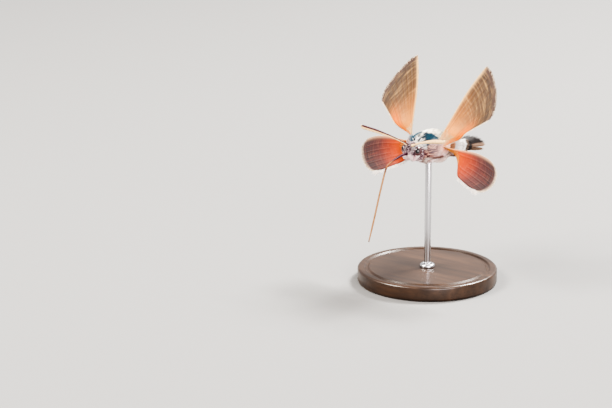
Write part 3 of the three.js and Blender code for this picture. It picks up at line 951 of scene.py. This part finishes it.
def abdomen_markings(at):
    back = np.clip(abdomen_share(at.forward), 0, 1)
    _, droop, _, _ = abdomen_ring(back)
    ring = segment_edge(back)
    line = at.area(side=(0.55, 0.25)) * ease(mottle(at.spots, 2.7), 0.2, 0.6)
    dorsum = layered(
        mix(UMBER, OLIVE, 0.75 * ring),
        (0.55 * ring * ease(back, 0.3, 0.05), CREAM),
        (0.7 * line, UMBER),
    )
    colour = layered(
        mix(RUST, UMBER, ease(back, 0.4, 0.75)),
        (at.area(facing=(0.1, 0.55)), dorsum),
        (0.85 * at.area(facing=(-0.15, -0.7)), FAWN),
    )
    for mark_back, mark_up in SIDE_MARKS:
        mark = np.hypot((back - mark_back) / 0.045, (at.up - droop - mark_up) / 1.0)
        colour = mix(colour, WHITE, ease(mark, 1.2, 0.7) * at.area(side=(1.4, 2.0)))
    return mix(colour, BLACK, 0.85 * ease(back, 0.84, 0.97))


def markings(spots, normals):
    """The coat's colour at a place on the body: the skin and the tufts share it."""
    at = Places(spots, normals)
    return layered(
        thorax_markings(at),
        (at.area(forward=(NECK, 5.0)), head_markings(at)),
        (at.area(forward=(-4.3, -5.2)), abdomen_markings(at)),
    )


# Coats
def bake_place(spots):
    """A place on the body's own unwrap: round it across, and along its length."""
    angle = np.arctan2(spots[:, 1], spots[:, 2] + ABDOMEN_DROOP * ease(spots[:, 0], -4, -18))
    across = MAP_EDGE + MAP_SPAN * (angle / (2 * np.pi) + 0.5)
    along = MAP_EDGE + MAP_SPAN * (spots[:, 0] - ABDOMEN_BACK + 1) / (11 - ABDOMEN_BACK)
    return np.stack([across, along], 1)


def surface_samples(thing, count, seed, keep=None):
    """Evenly spread places on a mesh, with their smooth normals, where keep lets them be."""
    mesh = thing.data
    mesh.calc_loop_triangles()
    faces = np.zeros(len(mesh.loop_triangles) * 3, int)
    mesh.loop_triangles.foreach_get("vertices", faces)
    faces = faces.reshape(-1, 3)
    corners = vertex_places(thing)
    normals = vertex_normals(thing)
    if keep:
        faces = faces[keep(corners[faces].mean(1))]
    a, b, c = (corners[faces[:, i]] for i in range(3))
    area = np.linalg.norm(np.cross(b - a, c - a), axis=1)
    random = np.random.default_rng(seed)
    steps = (np.arange(count) + random.random(count)) / count
    chosen = np.searchsorted(np.cumsum(area) / area.sum(), steps)
    chosen = np.minimum(chosen, len(faces) - 1)
    first, second = random.random((2, count))
    flip = first + second > 1
    first[flip], second[flip] = 1 - first[flip], 1 - second[flip]
    weights = np.stack([1 - first - second, first, second], 1)[..., None]
    spots = (corners[faces[chosen]] * weights).sum(1)
    facing = (normals[faces[chosen]] * weights).sum(1)
    return spots, unit(facing), random


def lie_of_coat(spots, normals):
    """Which way the fur lies: back along the body, up between the antennae, round the eyes."""
    forward, left, up = spots.T
    side = np.sign(left)
    lie = np.zeros_like(spots)
    lie[:, 0] = -1
    lie[:, 1] = 0.25 * side * ease(np.abs(normals[:, 1]), 0.1, 0.6)
    lie[:, 2] = -0.2
    crest = ease(forward, 5.9, 7.2) * ease(up, 0.9, 1.7) * ease(np.abs(left), 1.5, 1.0)
    face = ease(forward, 7.6, 8.4) * ease(up, 1.2, 0.4)
    centre = EYE_CENTRE * np.stack([np.ones_like(side), side, np.ones_like(side)], 1)
    from_eye = unit(spots - centre) + np.array([-0.5, 0, 0])
    round_eye = 0.85 * ease(eye_distance(spots), 1.7, 1.3)
    return layered(lie, (crest, (0.8, 0, 0.6)), (face, (0.1, 0, 0.9)), (round_eye, from_eye))


# How much tufts vary: the spread of their lie, and the factors of their other measures
LIE_SPREAD = 0.16
LENGTHS_FROM_TO = (0.7, 1.25)
WIDTHS_FROM_TO = (0.75, 1.25)
SHADES_FROM_TO = (0.78, 1.12)
LIFTS_FROM_TO = (0.6, 1.3)


def fur_piece(name, spots, normals, along, length, width, lift, random, colours, **settings):
    """A coat of tufts whose lengths, widths, lie and shade vary a little from one to the next."""
    count = len(spots)
    return tufts(
        name,
        spots,
        normals,
        along + random.normal(0, LIE_SPREAD, (count, 3)),
        length * random.uniform(*LENGTHS_FROM_TO, count),
        width * random.uniform(*WIDTHS_FROM_TO, count),
        colours * random.uniform(*SHADES_FROM_TO, (count, 1)),
        np.radians(lift) * random.uniform(*LIFTS_FROM_TO, count),
        bake_place(spots),
        **settings,
    )


def head_fur(spots):
    """How long the head's fur is, and by how many degrees it is raised."""
    crest = ease(spots[:, 0], 5.6, 6.6) * ease(spots[:, 2], 1.2, 1.8)
    palps = ease(spots[:, 0], 7.2, 7.8) * ease(spots[:, 2], 0.6, 0.2)
    near_eye = ease(eye_distance(spots), 1.6, 1.3)
    return 0.62 + 0.45 * crest - 0.22 * palps - 0.12 * near_eye, 20 + 22 * crest + 22 * near_eye


def thorax_fur(spots):
    collar = ease(spots[:, 0], 3.6, 4.2) * ease(spots[:, 2], 0.6, 2.0)
    return 1.0 + 0.3 * collar, 22 + 26 * collar


def abdomen_fur(spots):
    tail_end = ease(spots[:, 0], -14.5, -16)
    return 0.75 + 0.5 * tail_end, 9 + 12 * segment_edge(abdomen_share(spots[:, 0]))


# Each coat's count of tufts, their width, their fur, where they start and end along the body,
# and whether they grow above its middle, below it or both
COATS = {
    "coat_head": (16000, 0.085, head_fur, NECK, math.inf, (True, False)),
    "coat_thorax_top": (17000, 0.11, thorax_fur, WAIST, NECK, (True,)),
    "coat_thorax_belly": (17000, 0.11, thorax_fur, WAIST, NECK, (False,)),
    "coat_abdomen": (19000, 0.15, abdomen_fur, -math.inf, WAIST, (True, False)),
}
CLEAR_OF_EYE = 1.04


def body_coat(skin, name, seed):
    count, width, fur_of, rear, front, halves = COATS[name]

    def grows(spots):
        forward, above = spots[:, 0], spots[:, 2] > 0
        return (forward > rear) & (forward <= front) & np.isin(above, halves)

    spots, normals, random = surface_samples(skin, count, seed, grows)
    clear = eye_distance(spots) > CLEAR_OF_EYE
    spots, normals = spots[clear], normals[clear]
    length, lift = fur_of(spots)
    along = lie_of_coat(spots, normals)
    colours = markings(spots, normals)
    return fur_piece(name, spots, normals, along, length, width, lift, random, colours)


SHOULDER_TUFTS = 1000
SHOULDER_MIDDLE = (2.4, 0.5)
SHOULDER_REACH = 1.25
SHOULDER_STRETCH = 1.2
SHOULDER_SIDE = 1.6
LONG_TUFT = 1.9
# The tufts on each side of the abdomen: how far back each one is, and its tint
SIDE_TUFTS = [(0.38, WHITE), (0.53, WHITE), (0.64, UMBER), (0.75, BLACK), (0.86, BLACK)]
SIDE_TUFT_HAIRS = 110
TAIL_SCALES = 2600
TAIL_LENGTH = 4.6
TAIL_SPREAD = 1.16
TAIL_WIDTH = 2.7
TAIL_DROP = 0.26
TAIL_LIFT = math.radians(2)
TAIL_EDGE = (0.3, 0.2, 0.14)


def shoulder_tufts(skin, name, side):
    """The long flat tuft of the shoulder, which covers a forewing's root."""

    def on_shoulder(spots):
        forward, up = spots[:, 0] - SHOULDER_MIDDLE[0], spots[:, 2] - SHOULDER_MIDDLE[1]
        near = np.hypot(forward, up / SHOULDER_STRETCH) < SHOULDER_REACH
        return near & (spots[:, 1] * side > SHOULDER_SIDE)

    seed = SEEDS["shoulder"] + side
    spots, normals, random = surface_samples(skin, SHOULDER_TUFTS, seed, on_shoulder)
    along = np.array([-0.75, 0.5 * side, 0.3])
    colours = mix(markings(spots, normals), WHITE, 0.12)
    sizes = (LONG_TUFT, 0.15, 34)
    return fur_piece(name, spots, normals, along, *sizes, random, colours, stations=5)


def side_tufts(name, side):
    """Flat tufts that stand out from the side of the abdomen, white and then black."""
    random = np.random.default_rng(SEEDS["side"] + side)
    spots, normals, colours = [], [], []
    for back, tint in SIDE_TUFTS:
        for _ in range(SIDE_TUFT_HAIRS):
            forward, droop, wide, deep = abdomen_ring(back + random.normal(0, 0.012))
            angle = random.uniform(-0.6, 0.6)
            outward = np.array([0, side * math.cos(angle), math.sin(angle)])
            spots.append(np.array([forward, 0, droop]) + outward * [0, wide - 0.5, deep - 0.5])
            normals.append(outward)
            colours.append(tint)
    spots, normals, colours = (np.array(values) for values in (spots, normals, colours))
    along = np.array([-0.9, 0.3 * side, -0.2])
    sizes = (LONG_TUFT, 0.2, 30)
    return fur_piece(name, spots, normals, along, *sizes, random, colours, stations=5)


def tail_brush():
    """The flat brush of long dark scales that spreads like a fan behind the abdomen."""
    random = np.random.default_rng(SEEDS["tail"])
    count = TAIL_SCALES
    share = random.uniform(-0.5, 0.5, count)
    layer = random.uniform(-1, 1, count)
    turn = TAIL_SPREAD * share
    forward, droop, _, _ = abdomen_ring(0.965)
    start = forward + 1.1 - 0.6 * random.random(count)
    spots = np.stack([start, TAIL_WIDTH * share, droop + 0.5 * layer], 1)
    along = np.stack([-np.cos(turn), np.sin(turn), -TAIL_DROP + 0.03 * layer], 1)
    normals = np.stack([np.full(count, TAIL_DROP), 0.5 * share, np.sign(layer)], 1)
    length = (TAIL_LENGTH * (1 - 0.55 * share**2) + 1.2) * random.uniform(0.62, 1, count)
    colours = mix(BLACK, TAIL_EDGE, 0.8 * ease(np.abs(share), 0.36, 0.46))
    return tufts(
        "tail_brush",
        spots,
        normals,
        along + random.normal(0, 0.03, (count, 3)),
        length,
        random.uniform(0.14, 0.24, count),
        colours * random.uniform(0.7, 1.5, (count, 1)),
        np.full(count, TAIL_LIFT),
        bake_place(spots),
        stations=6,
    )


# Fringes and hairs of the wings
FRINGE_CREAM = (0.8, 0.68, 0.52)
FRINGE_WHITE = (0.9, 0.84, 0.78)
FRINGE_BROWN = (0.16, 0.1, 0.075)
FRINGE_DUN = (0.36, 0.26, 0.21)
HAIR_CREAM = (0.86, 0.58, 0.3)
HAIR_ORANGE = (0.85, 0.36, 0.1)
# Each row's count, its range out along the rays and back across them, how far it turns across
# them, its length, its lift in degrees and its tint
FOREWING_ROWS = [
    (1500, (0.985, 1.0), (0.0, 1.0), 0.1, 0.5, 2, FRINGE_BROWN),
    (700, (0.985, 1.0), (0.0, 1.0), 0.1, 0.52, 2, FRINGE_CREAM),
    (700, (0.1, 1.0), (0.985, 1.0), 0.7, 0.4, 2, FRINGE_CREAM),
    (900, (0.05, 0.99), (0.0, 0.012), -0.25, 0.28, 8, HAIR_CREAM),
    (900, (0.0, 0.2), (0.0, 1.0), 0.0, 0.9, 14, HAIR_CREAM),
]
HINDWING_ROWS = [
    (900, (0.985, 1.0), (0.0, 0.8), 0.1, 0.5, 2, FRINGE_DUN),
    (700, (0.985, 1.0), (0.0, 1.0), 0.1, 0.6, 2, FRINGE_CREAM),
    (1500, (0.1, 1.0), (0.975, 1.0), 0.65, 0.85, 4, FRINGE_WHITE),
    (300, (0.94, 1.0), (0.95, 1.0), 0.35, 1.3, 8, FRINGE_WHITE),
    (500, (0.08, 0.99), (0.0, 0.012), -0.2, 0.25, 6, HAIR_CREAM),
    (1100, (0.0, 0.28), (0.0, 1.0), 0.05, 0.9, 14, HAIR_ORANGE),
]


def wing_frame(wing, u, v, side):
    """Places on a wing with its directions outward along its rays, across them, and out of it."""
    step = 1e-3
    spots = wing_point(wing, u, v)
    outward = unit(wing_point(wing, u + step, v) - wing_point(wing, u - step, v))
    across = unit(wing_point(wing, u, v + step) - wing_point(wing, u, v - step))
    normals = unit(np.cross(outward, across))
    return [mirror_spots(part, side) for part in (spots, outward, across, normals)]


def wing_tufts(name, wing, side, rows):
    """The rows of fringe and hair on one wing."""
    random = np.random.default_rng(SEEDS["fringe"])
    parts = []
    for count, u_range, v_range, turn, length, lift, tint in rows:
        u = random.uniform(*u_range, count)
        v = random.uniform(*v_range, count)
        spots, outward, across, normals = wing_frame(wing, u, v, side)
        along = outward * (1 - abs(turn)) + across * turn + random.normal(0, 0.09, (count, 3))
        facing = normals * np.sign(random.uniform(-1, 1, count))[:, None]
        colours = np.array(tint) * random.uniform(0.75, 1.15, (count, 1))
        lengths = length * random.uniform(0.65, 1.2, count)
        lifts = np.full(count, np.radians(lift))
        parts.append((spots, facing, along, lengths, colours, lifts, np.stack([u, v], 1)))
    spots, facing, along, lengths, colours, lifts, places = (np.concatenate(p) for p in zip(*parts))
    widths = random.uniform(0.07, 0.13, len(spots))
    patch = MAP_EDGE + MAP_SPAN * places
    return tufts(name, spots, facing, along, lengths, widths, colours, lifts, patch, depth=0)


# Tubes: antennae, proboscis and legs
CURVE_STEPS = 40


def smooth_path(spots, count):
    """A smooth path through some places, with count evenly spaced points."""
    spots = np.asarray(spots, float)
    ends = np.vstack([2 * spots[0] - spots[1], spots, 2 * spots[-1] - spots[-2]])
    t = np.linspace(0, 1, CURVE_STEPS, endpoint=False)[:, None]
    pieces = []
    for i in range(1, len(ends) - 2):
        a, b, c, d = ends[i - 1 : i + 3]
        straight = 0.5 * (2 * b + (c - a) * t)
        bent = 0.5 * ((2 * a - 5 * b + 4 * c - d) * t**2 + (3 * b - a - 3 * c + d) * t**3)
        pieces.append(straight + bent)
    fine = np.vstack(pieces + [spots[-1:]])
    steps = np.concatenate([[0], np.cumsum(np.linalg.norm(np.diff(fine, axis=0), axis=1))])
    wanted = np.linspace(0, steps[-1], count)
    return np.stack([np.interp(wanted, steps, fine[:, i]) for i in range(3)], 1)


def tube(name, spots, radii):
    """A round tube of changing radius along a path, with closed ends."""
    curve = bpy.data.curves.new(name, "CURVE")
    curve.dimensions = "3D"
    curve.bevel_depth = MM
    curve.bevel_resolution = 4
    curve.use_fill_caps = True
    line = curve.splines.new("POLY")
    line.points.add(len(spots) - 1)
    for point, spot, radius in zip(line.points, placed(spots), radii):
        point.co = (*spot, 1)
        point.radius = float(radius)
    choose(add_object(name, curve))
    bpy.ops.object.convert(target="MESH")
    thing = bpy.context.object
    shade_smooth(thing)
    return thing


ANTENNA_ROOT = np.array([7.3, 0.95, 1.95])
ANTENNA_REACH = np.array([3.3, 11.15, 3.5])
# Each bend of the antenna: how far along it is, how far it is raised and led forward
ANTENNA_BENDS = [(-0.05, 0, 0), (0.25, 0.35, 0), (0.6, 0.3, 0), (0.93, 0, 0), (1, 0.05, -0.4)]
ANTENNA_RINGS = 46
ANTENNA_CREAM = (0.95, 0.66, 0.34)
ANTENNA_DARK = (0.045, 0.008, 0.014)
ANTENNA_TIP = (0.93, 0.72, 0.42)


def antenna(name, side):
    """A clubbed antenna with a small hook at its tip, dark above and cream below; how far the dark
    reaches differs on each side, as painted shade.
    """
    spots = [
        ANTENNA_ROOT + ANTENNA_REACH * t + np.array([hook, 0, lift])
        for t, lift, hook in ANTENNA_BENDS
    ]
    count = ANTENNA_RINGS * 4 + 1
    path = smooth_path(spots, count)
    t = np.linspace(0, 1, count)
    radii = 0.22 + 0.25 * ease(t, 0.15, 0.8) - 0.34 * ease(t, 0.94, 1)
    radii = radii + 0.12 * ease(t, 0.1, 0.05) * ease(t, 0.0, 0.03)
    radii = radii * (1 + 0.09 * np.cos(2 * np.pi * t * ANTENNA_RINGS))
    thing = tube(name, mirror_spots(path, side), np.maximum(radii, 0.05))
    spots, normals = vertex_places(thing), vertex_normals(thing)
    # Painted shade: the dark side and where it meets the cream differ between the sides, so the far
    # antenna is dark over more of it
    dark_and_shaded_side, meets = ((-0.9, 0, 0.45), 0.0) if side > 0 else ((-0.42, 0, 0.9), -0.26)
    upper = ease(normals @ unit(dark_and_shaded_side), meets - 0.1, meets + 0.1)
    share = np.clip((np.abs(spots[:, 1]) - ANTENNA_ROOT[1]) / ANTENNA_REACH[1], 0, 1)
    tip = 0.8 * ease(share, 0.965, 0.99)
    paint(thing, layered(ANTENNA_CREAM, (upper, ANTENNA_DARK), (tip, ANTENNA_TIP)))
    return thing


FACE_FRONT = 8.7
KNEE = np.array([16.7, 0, -1.3])
HANG = np.array([0.379, 0, -0.925])
PROBOSCIS_REACH = 26.3
PROBOSCIS_POINTS = 260
PROBOSCIS_RINGS = 85
PROBOSCIS_DARK = (0.06, 0.014, 0.03)
PROBOSCIS_TAN = (0.36, 0.19, 0.085)


def proboscis():
    """The long tongue: out between the palps, bent at the knee, hanging to its tip."""
    lower = PROBOSCIS_REACH - (KNEE[0] - FACE_FRONT)
    spots = [
        (FACE_FRONT - 1.6, 0, -0.6),
        (FACE_FRONT + 0.6, 0, 0.05),
        (FACE_FRONT + 4, 0, -0.25),
        KNEE + np.array([-0.9, 0, 0.3]),
        KNEE + HANG * 0.9,
        KNEE + HANG * lower * 0.33 + np.array([0.15, 0, 0]),
        KNEE + HANG * lower * 0.66,
        KNEE + HANG * lower,
    ]
    t = np.linspace(0, 1, PROBOSCIS_POINTS)
    radii = 0.31 - 0.09 * ease(t, 0, 0.35) - 0.08 * ease(t, 0.85, 1)
    radii = radii * (1 + 0.045 * np.cos(2 * np.pi * t * PROBOSCIS_RINGS))
    thing = tube("proboscis", smooth_path(spots, PROBOSCIS_POINTS), radii)
    spots, normals = vertex_places(thing), vertex_normals(thing)
    bend = ease(np.abs(spots[:, 2] - KNEE[2] - 0.2), 0.9, 0.3)
    groove = ease(np.abs(spots[:, 1]), 0.07, 0.0) * ease(normals[:, 2], 0.1, 0.6)
    colours = layered(
        PROBOSCIS_DARK,
        (ease(spots[:, 2], -1.2, -3.5), PROBOSCIS_TAN),
        (0.7 * bend, (0.4, 0.16, 0.05)),
        (0.5 * groove, (0.03, 0.015, 0.015)),
        (ease(spots[:, 2], -17, -18.6), (0.1, 0.05, 0.04)),
    )
    paint(thing, colours)
    return thing


# Places along each leg: how far forward, its turn round the body's underside, how far out
LEGS = {
    "foreleg": [
        (2.0, 27, -0.9), (3.2, 33, 0), (3.9, 45, 0.2),
        (3.1, 58, 0.05), (1.4, 64, 0.1), (-0.6, 66, 0.2),
    ],
    "midleg": [
        (0.8, 33, -0.9), (-0.6, 42, 0), (-2.8, 46, 0.1),
        (-4.6, 48, 0.45), (-6.8, 52, 0.2), (-9.2, 55, 0.3),
    ],
    "hindleg": [
        (-1.5, 26, -0.9), (-3.0, 25, 0.1), (-4.4, 26, 0.6),
        (-6.4, 26, 0.25), (-9.4, 25, 0.2), (-12.6, 24, 0.35),
    ],
}
LEG_POINTS = 170
LEG_RADIUS = 0.34
LEG_SCALES = 1400
LEG_PALE = (0.8, 0.66, 0.6)
LEG_BROWN = (0.24, 0.15, 0.13)
FOOT_FROM = 0.62


def leg_colours(spots, path):
    """A leg's colours, and the way it runs, at some places on it."""
    nearest = np.argmin(np.linalg.norm(spots[:, None] - path[None], axis=2), axis=1)
    share = nearest / (len(path) - 1)
    ahead = np.minimum(nearest + 1, len(path) - 1)
    runs = unit(path[ahead] - path[np.maximum(ahead - 2, 0)])
    return mix(LEG_PALE, LEG_BROWN, ease(share, 0.3, 0.6)), runs


def leg(name, path):
    """A folded leg: femur and shin, and a thin jointed foot."""
    t = np.linspace(0, 1, LEG_POINTS)
    radii = LEG_RADIUS * (1 - 0.5 * ease(t, 0.12, 0.66))
    radii = radii * (1 + 0.18 * np.cos(2 * np.pi * (t - FOOT_FROM) * 13) * ease(t, FOOT_FROM, 0.68))
    thing = tube(name, path, radii - 0.08 * ease(t, 0.97, 1))
    colours, _ = leg_colours(vertex_places(thing), path)
    paint(thing, colours)
    return thing


def leg_scales(name, limb, path):
    spots, normals, random = surface_samples(limb, LEG_SCALES, SEEDS["leg"])
    colours, runs = leg_colours(spots, path)
    sizes = (0.42, 0.085, 20)
    return fur_piece(name, spots, normals, runs, *sizes, random, colours, depth=0.02)


def eye(name, side):
    """A domed eye with a dark false pupil, paler above and maroon below."""
    centre = mirror_spots(EYE_CENTRE, side)
    thing = ball(centre, EYE_HALF, 96, 64)
    thing.name = name
    shade_smooth(thing)
    outward = (vertex_places(thing) - centre) / EYE_HALF
    near = outward @ unit((0.8, 0.5 * side, 0.3))
    colours = layered(
        (0.03, 0.01, 0.014),
        (ease(near, 0.35, 0.75), (0.12, 0.07, 0.08)),
        (0.8 * ease(outward[:, 2], -0.1, -0.5), (0.09, 0.014, 0.018)),
        (ease(near, 0.78, 0.88), (0.002, 0.001, 0.002)),
    )
    paint(thing, colours)
    return thing


# Stand. Its top is cut by insets from the rim inward, and a ring between them is sunk.
RIM_INSETS = (1.6, 0.4, 0.5, 0.4)
GROOVE_INSET = (1.9, 2.6)
GROOVE_DEPTH = 0.35
RIM_BEVEL = 0.6
ROD_OVERLAP = 0.6
ROD_SINK = 0.4
COLLAR_OUT = 0.5
COLLAR_RADIUS = 0.55
COLLAR_UP = 0.3


def cylinder(name, radius, bottom, top, vertices):
    bpy.ops.mesh.primitive_cylinder_add(
        vertices=vertices, radius=radius, depth=top - bottom, location=(0, 0, (top + bottom) / 2)
    )
    thing = bpy.context.object
    thing.name = name
    apply_place(thing)
    return thing


def base_piece():
    """A turned wooden disc: rounded shoulder, shallow ring groove, flat foot."""
    low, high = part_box("stand_base")
    radius = (high.x - low.x) / 2
    height = high.z - low.z
    thing = cylinder("stand_disc", radius, 0, height, 160)
    bpy.ops.object.mode_set(mode="EDIT")
    bpy.ops.mesh.select_mode(type="FACE")
    bpy.ops.mesh.select_all(action="DESELECT")
    bpy.ops.object.mode_set(mode="OBJECT")
    for face in thing.data.polygons:
        face.select = face.normal.z > 0.9
    bpy.ops.object.mode_set(mode="EDIT")
    for width in RIM_INSETS:
        bpy.ops.mesh.inset(thickness=width * MM)
    bpy.ops.object.mode_set(mode="OBJECT")
    for vertex in thing.data.vertices:
        inward = (radius - math.hypot(vertex.co.x, vertex.co.y)) / MM
        if vertex.co.z > height * 0.9 and GROOVE_INSET[0] < inward < GROOVE_INSET[1]:
            vertex.co.z -= GROOVE_DEPTH * MM
    angle = math.radians(50)
    bevel = {"width": RIM_BEVEL * MM, "segments": 5, "limit_method": "ANGLE", "angle_limit": angle}
    apply_modifier(thing, "BEVEL", **bevel)
    shade_smooth(thing, 35)
    return thing


def rod_piece():
    """A polished rod with a small turned collar where it meets the base."""
    low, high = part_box("stand_rod")
    _, base_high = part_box("stand_base")
    radius = (high.x - low.x) / 2
    bottom, top = base_high.z - ROD_SINK * MM, high.z + ROD_OVERLAP * MM
    rod = cylinder("stand_post", radius, bottom, top, 48)
    apply_modifier(rod, "BEVEL", width=0.2 * MM, segments=3, limit_method="ANGLE")
    bpy.ops.mesh.primitive_torus_add(
        major_radius=radius + COLLAR_OUT * MM,
        minor_radius=COLLAR_RADIUS * MM,
        major_segments=64,
        minor_segments=20,
        location=(0, 0, base_high.z + COLLAR_UP * MM),
    )
    collar = bpy.context.object
    apply_place(collar)
    thing = joined(rod, collar)
    shade_smooth(thing, 40)
    return thing


# Camera, as it stood for the photo: the body's middle falls on THORAX_IN_PHOTO
PHOTO_SIZE = (612, 408)
THORAX_IN_PHOTO = (427.0, 146.5)
MM_PER_PIXEL = 0.2403
AZIMUTH = math.radians(37.3)
ELEVATION = math.radians(16.2)
LENS = 150
SENSOR = 36
BODY_MIDDLE = Vector(placed((0, 0, 0)))


def looking_along(direction):
    return direction.to_track_quat("Z", "Y").to_euler()


def add_camera():
    level = math.cos(ELEVATION)
    back = Vector((math.sin(AZIMUTH) * level, -math.cos(AZIMUTH) * level, math.sin(ELEVATION)))
    right = Vector((math.cos(AZIMUTH), math.sin(AZIMUTH), 0))
    up = back.cross(right)
    across = (PHOTO_SIZE[0] / 2 - THORAX_IN_PHOTO[0]) * MM_PER_PIXEL * MM
    upward = (THORAX_IN_PHOTO[1] - PHOTO_SIZE[1] / 2) * MM_PER_PIXEL * MM
    target = BODY_MIDDLE + right * across + up * upward
    distance = PHOTO_SIZE[0] * MM_PER_PIXEL * LENS / SENSOR * MM
    data = bpy.data.cameras.new("camera")
    data.lens = LENS
    data.sensor_width = SENSOR
    data.clip_start = 0.01
    data.clip_end = 20
    camera = add_object("camera", data)
    camera.location = target + back * distance
    camera.rotation_euler = looking_along(back)
    bpy.context.scene.camera = camera


# Studio, in metres. Each light has its place, size, power and colour.
LIGHTS = {
    "key": ((-0.3, -0.4, 0.55), 0.3, 7.6, (1, 0.95, 0.87)),
    "rim": ((0.1, 0.45, 0.6), 0.2, 13, (1, 0.98, 0.94)),
    "fill": ((0.6, -0.35, 0.2), 0.5, 5.4, (1, 0.93, 0.93)),
}
FLOOR_SIZE = 6
FLOOR_GREY = (0.23, 0.228, 0.225)
SKY = (1, 0.97, 0.96, 1)
SKY_STRENGTH = 0.66


def add_studio():
    bpy.ops.mesh.primitive_plane_add(size=FLOOR_SIZE)
    floor = bpy.context.object
    floor.name = "floor"
    floor.data.materials.append(Maker("floor").finish(Base_Color=FLOOR_GREY, Roughness=0.9))
    world = bpy.data.worlds.new("studio")
    world.use_nodes = True
    sky = world.node_tree.nodes["Background"].inputs
    sky["Color"].default_value = SKY
    sky["Strength"].default_value = SKY_STRENGTH
    bpy.context.scene.world = world
    bpy.context.scene.view_settings.look = "AgX - Very High Contrast"
    for name, (spot, size, power, colour) in LIGHTS.items():
        data = bpy.data.lights.new(name, "AREA")
        data.size = size
        data.energy = power
        data.color = colour
        light = add_object(name, data)
        light.location = Vector(spot)
        light.rotation_euler = looking_along(Vector(spot) - BODY_MIDDLE)


# Making the moth and its stand
add_camera()
add_studio()

skin = body_skin()
paint(skin, markings(vertex_places(skin), vertex_normals(skin)) * 0.8)
dress(skin, [skin_material()], "body_fur", "head", "thorax", "abdomen", "palp_left", "palp_right")

fur = coat_material("fur")
for number, name in enumerate(COATS):
    dress(body_coat(skin, name, SEEDS["coat"] + number), [fur], "body_fur")
dress(tail_brush(), [coat_material("tail_scales", 0.55)], "tail_scales", "tail_fan")

hindwing_sides = [
    hindwing_finish("hindwing_below", HINDWING_BELOW),
    hindwing_finish("hindwing_above", HINDWING_ABOVE),
]
wing_parts = [
    ("forewing", FOREWING, FOREWING_ROWS, [forewing_below(), forewing_above()]),
    ("hindwing", HINDWING, HINDWING_ROWS, hindwing_sides),
]
horn = tinted_material("horn", 0.5, 2500, 0.00002)
tongue = tinted_material("tongue", 0.62, 1800, 0.00001)
scaled_leg = tinted_material("scaled_leg", 0.8, 3500, 0.00005)
glossy_eye = eye_material()
for side, side_name in SIDES:
    for kind, wing, rows, materials in wing_parts:
        piece = wing_piece(f"{kind}_{side_name}_vane", wing, side, *materials)
        dress(piece, [], kind, f"{kind}_{side_name}")
        dress(wing_tufts(f"{kind}_{side_name}_fringe", wing, side, rows), [fur], kind)
    dress(shoulder_tufts(skin, f"shoulder_{side_name}", side), [fur], "body_fur")
    dress(side_tufts(f"side_tufts_{side_name}", side), [fur], "abdomen_fur")
    dress(antenna(f"feeler_{side_name}", side), [horn], "antenna", f"antenna_{side_name}")
    dress(eye(f"eyeball_{side_name}", side), [glossy_eye], "eye", f"eye_{side_name}")
    for leg_name, places in LEGS.items():
        path = smooth_path([under_body(*place) for place in places], LEG_POINTS)
        path = mirror_spots(path, side)
        limb = leg(f"{leg_name}_{side_name}_limb", path)
        dress(limb, [scaled_leg], "leg", f"{leg_name}_{side_name}")
        dress(leg_scales(f"{leg_name}_{side_name}_scales", limb, path), [fur], "leg")
dress(proboscis(), [tongue], "proboscis", "proboscis_upper", "proboscis_lower")

dress(base_piece(), [wood_material()], "stand_base", "stand_base")
dress(rod_piece(), [steel_material()], "stand_rod", "stand_rod")
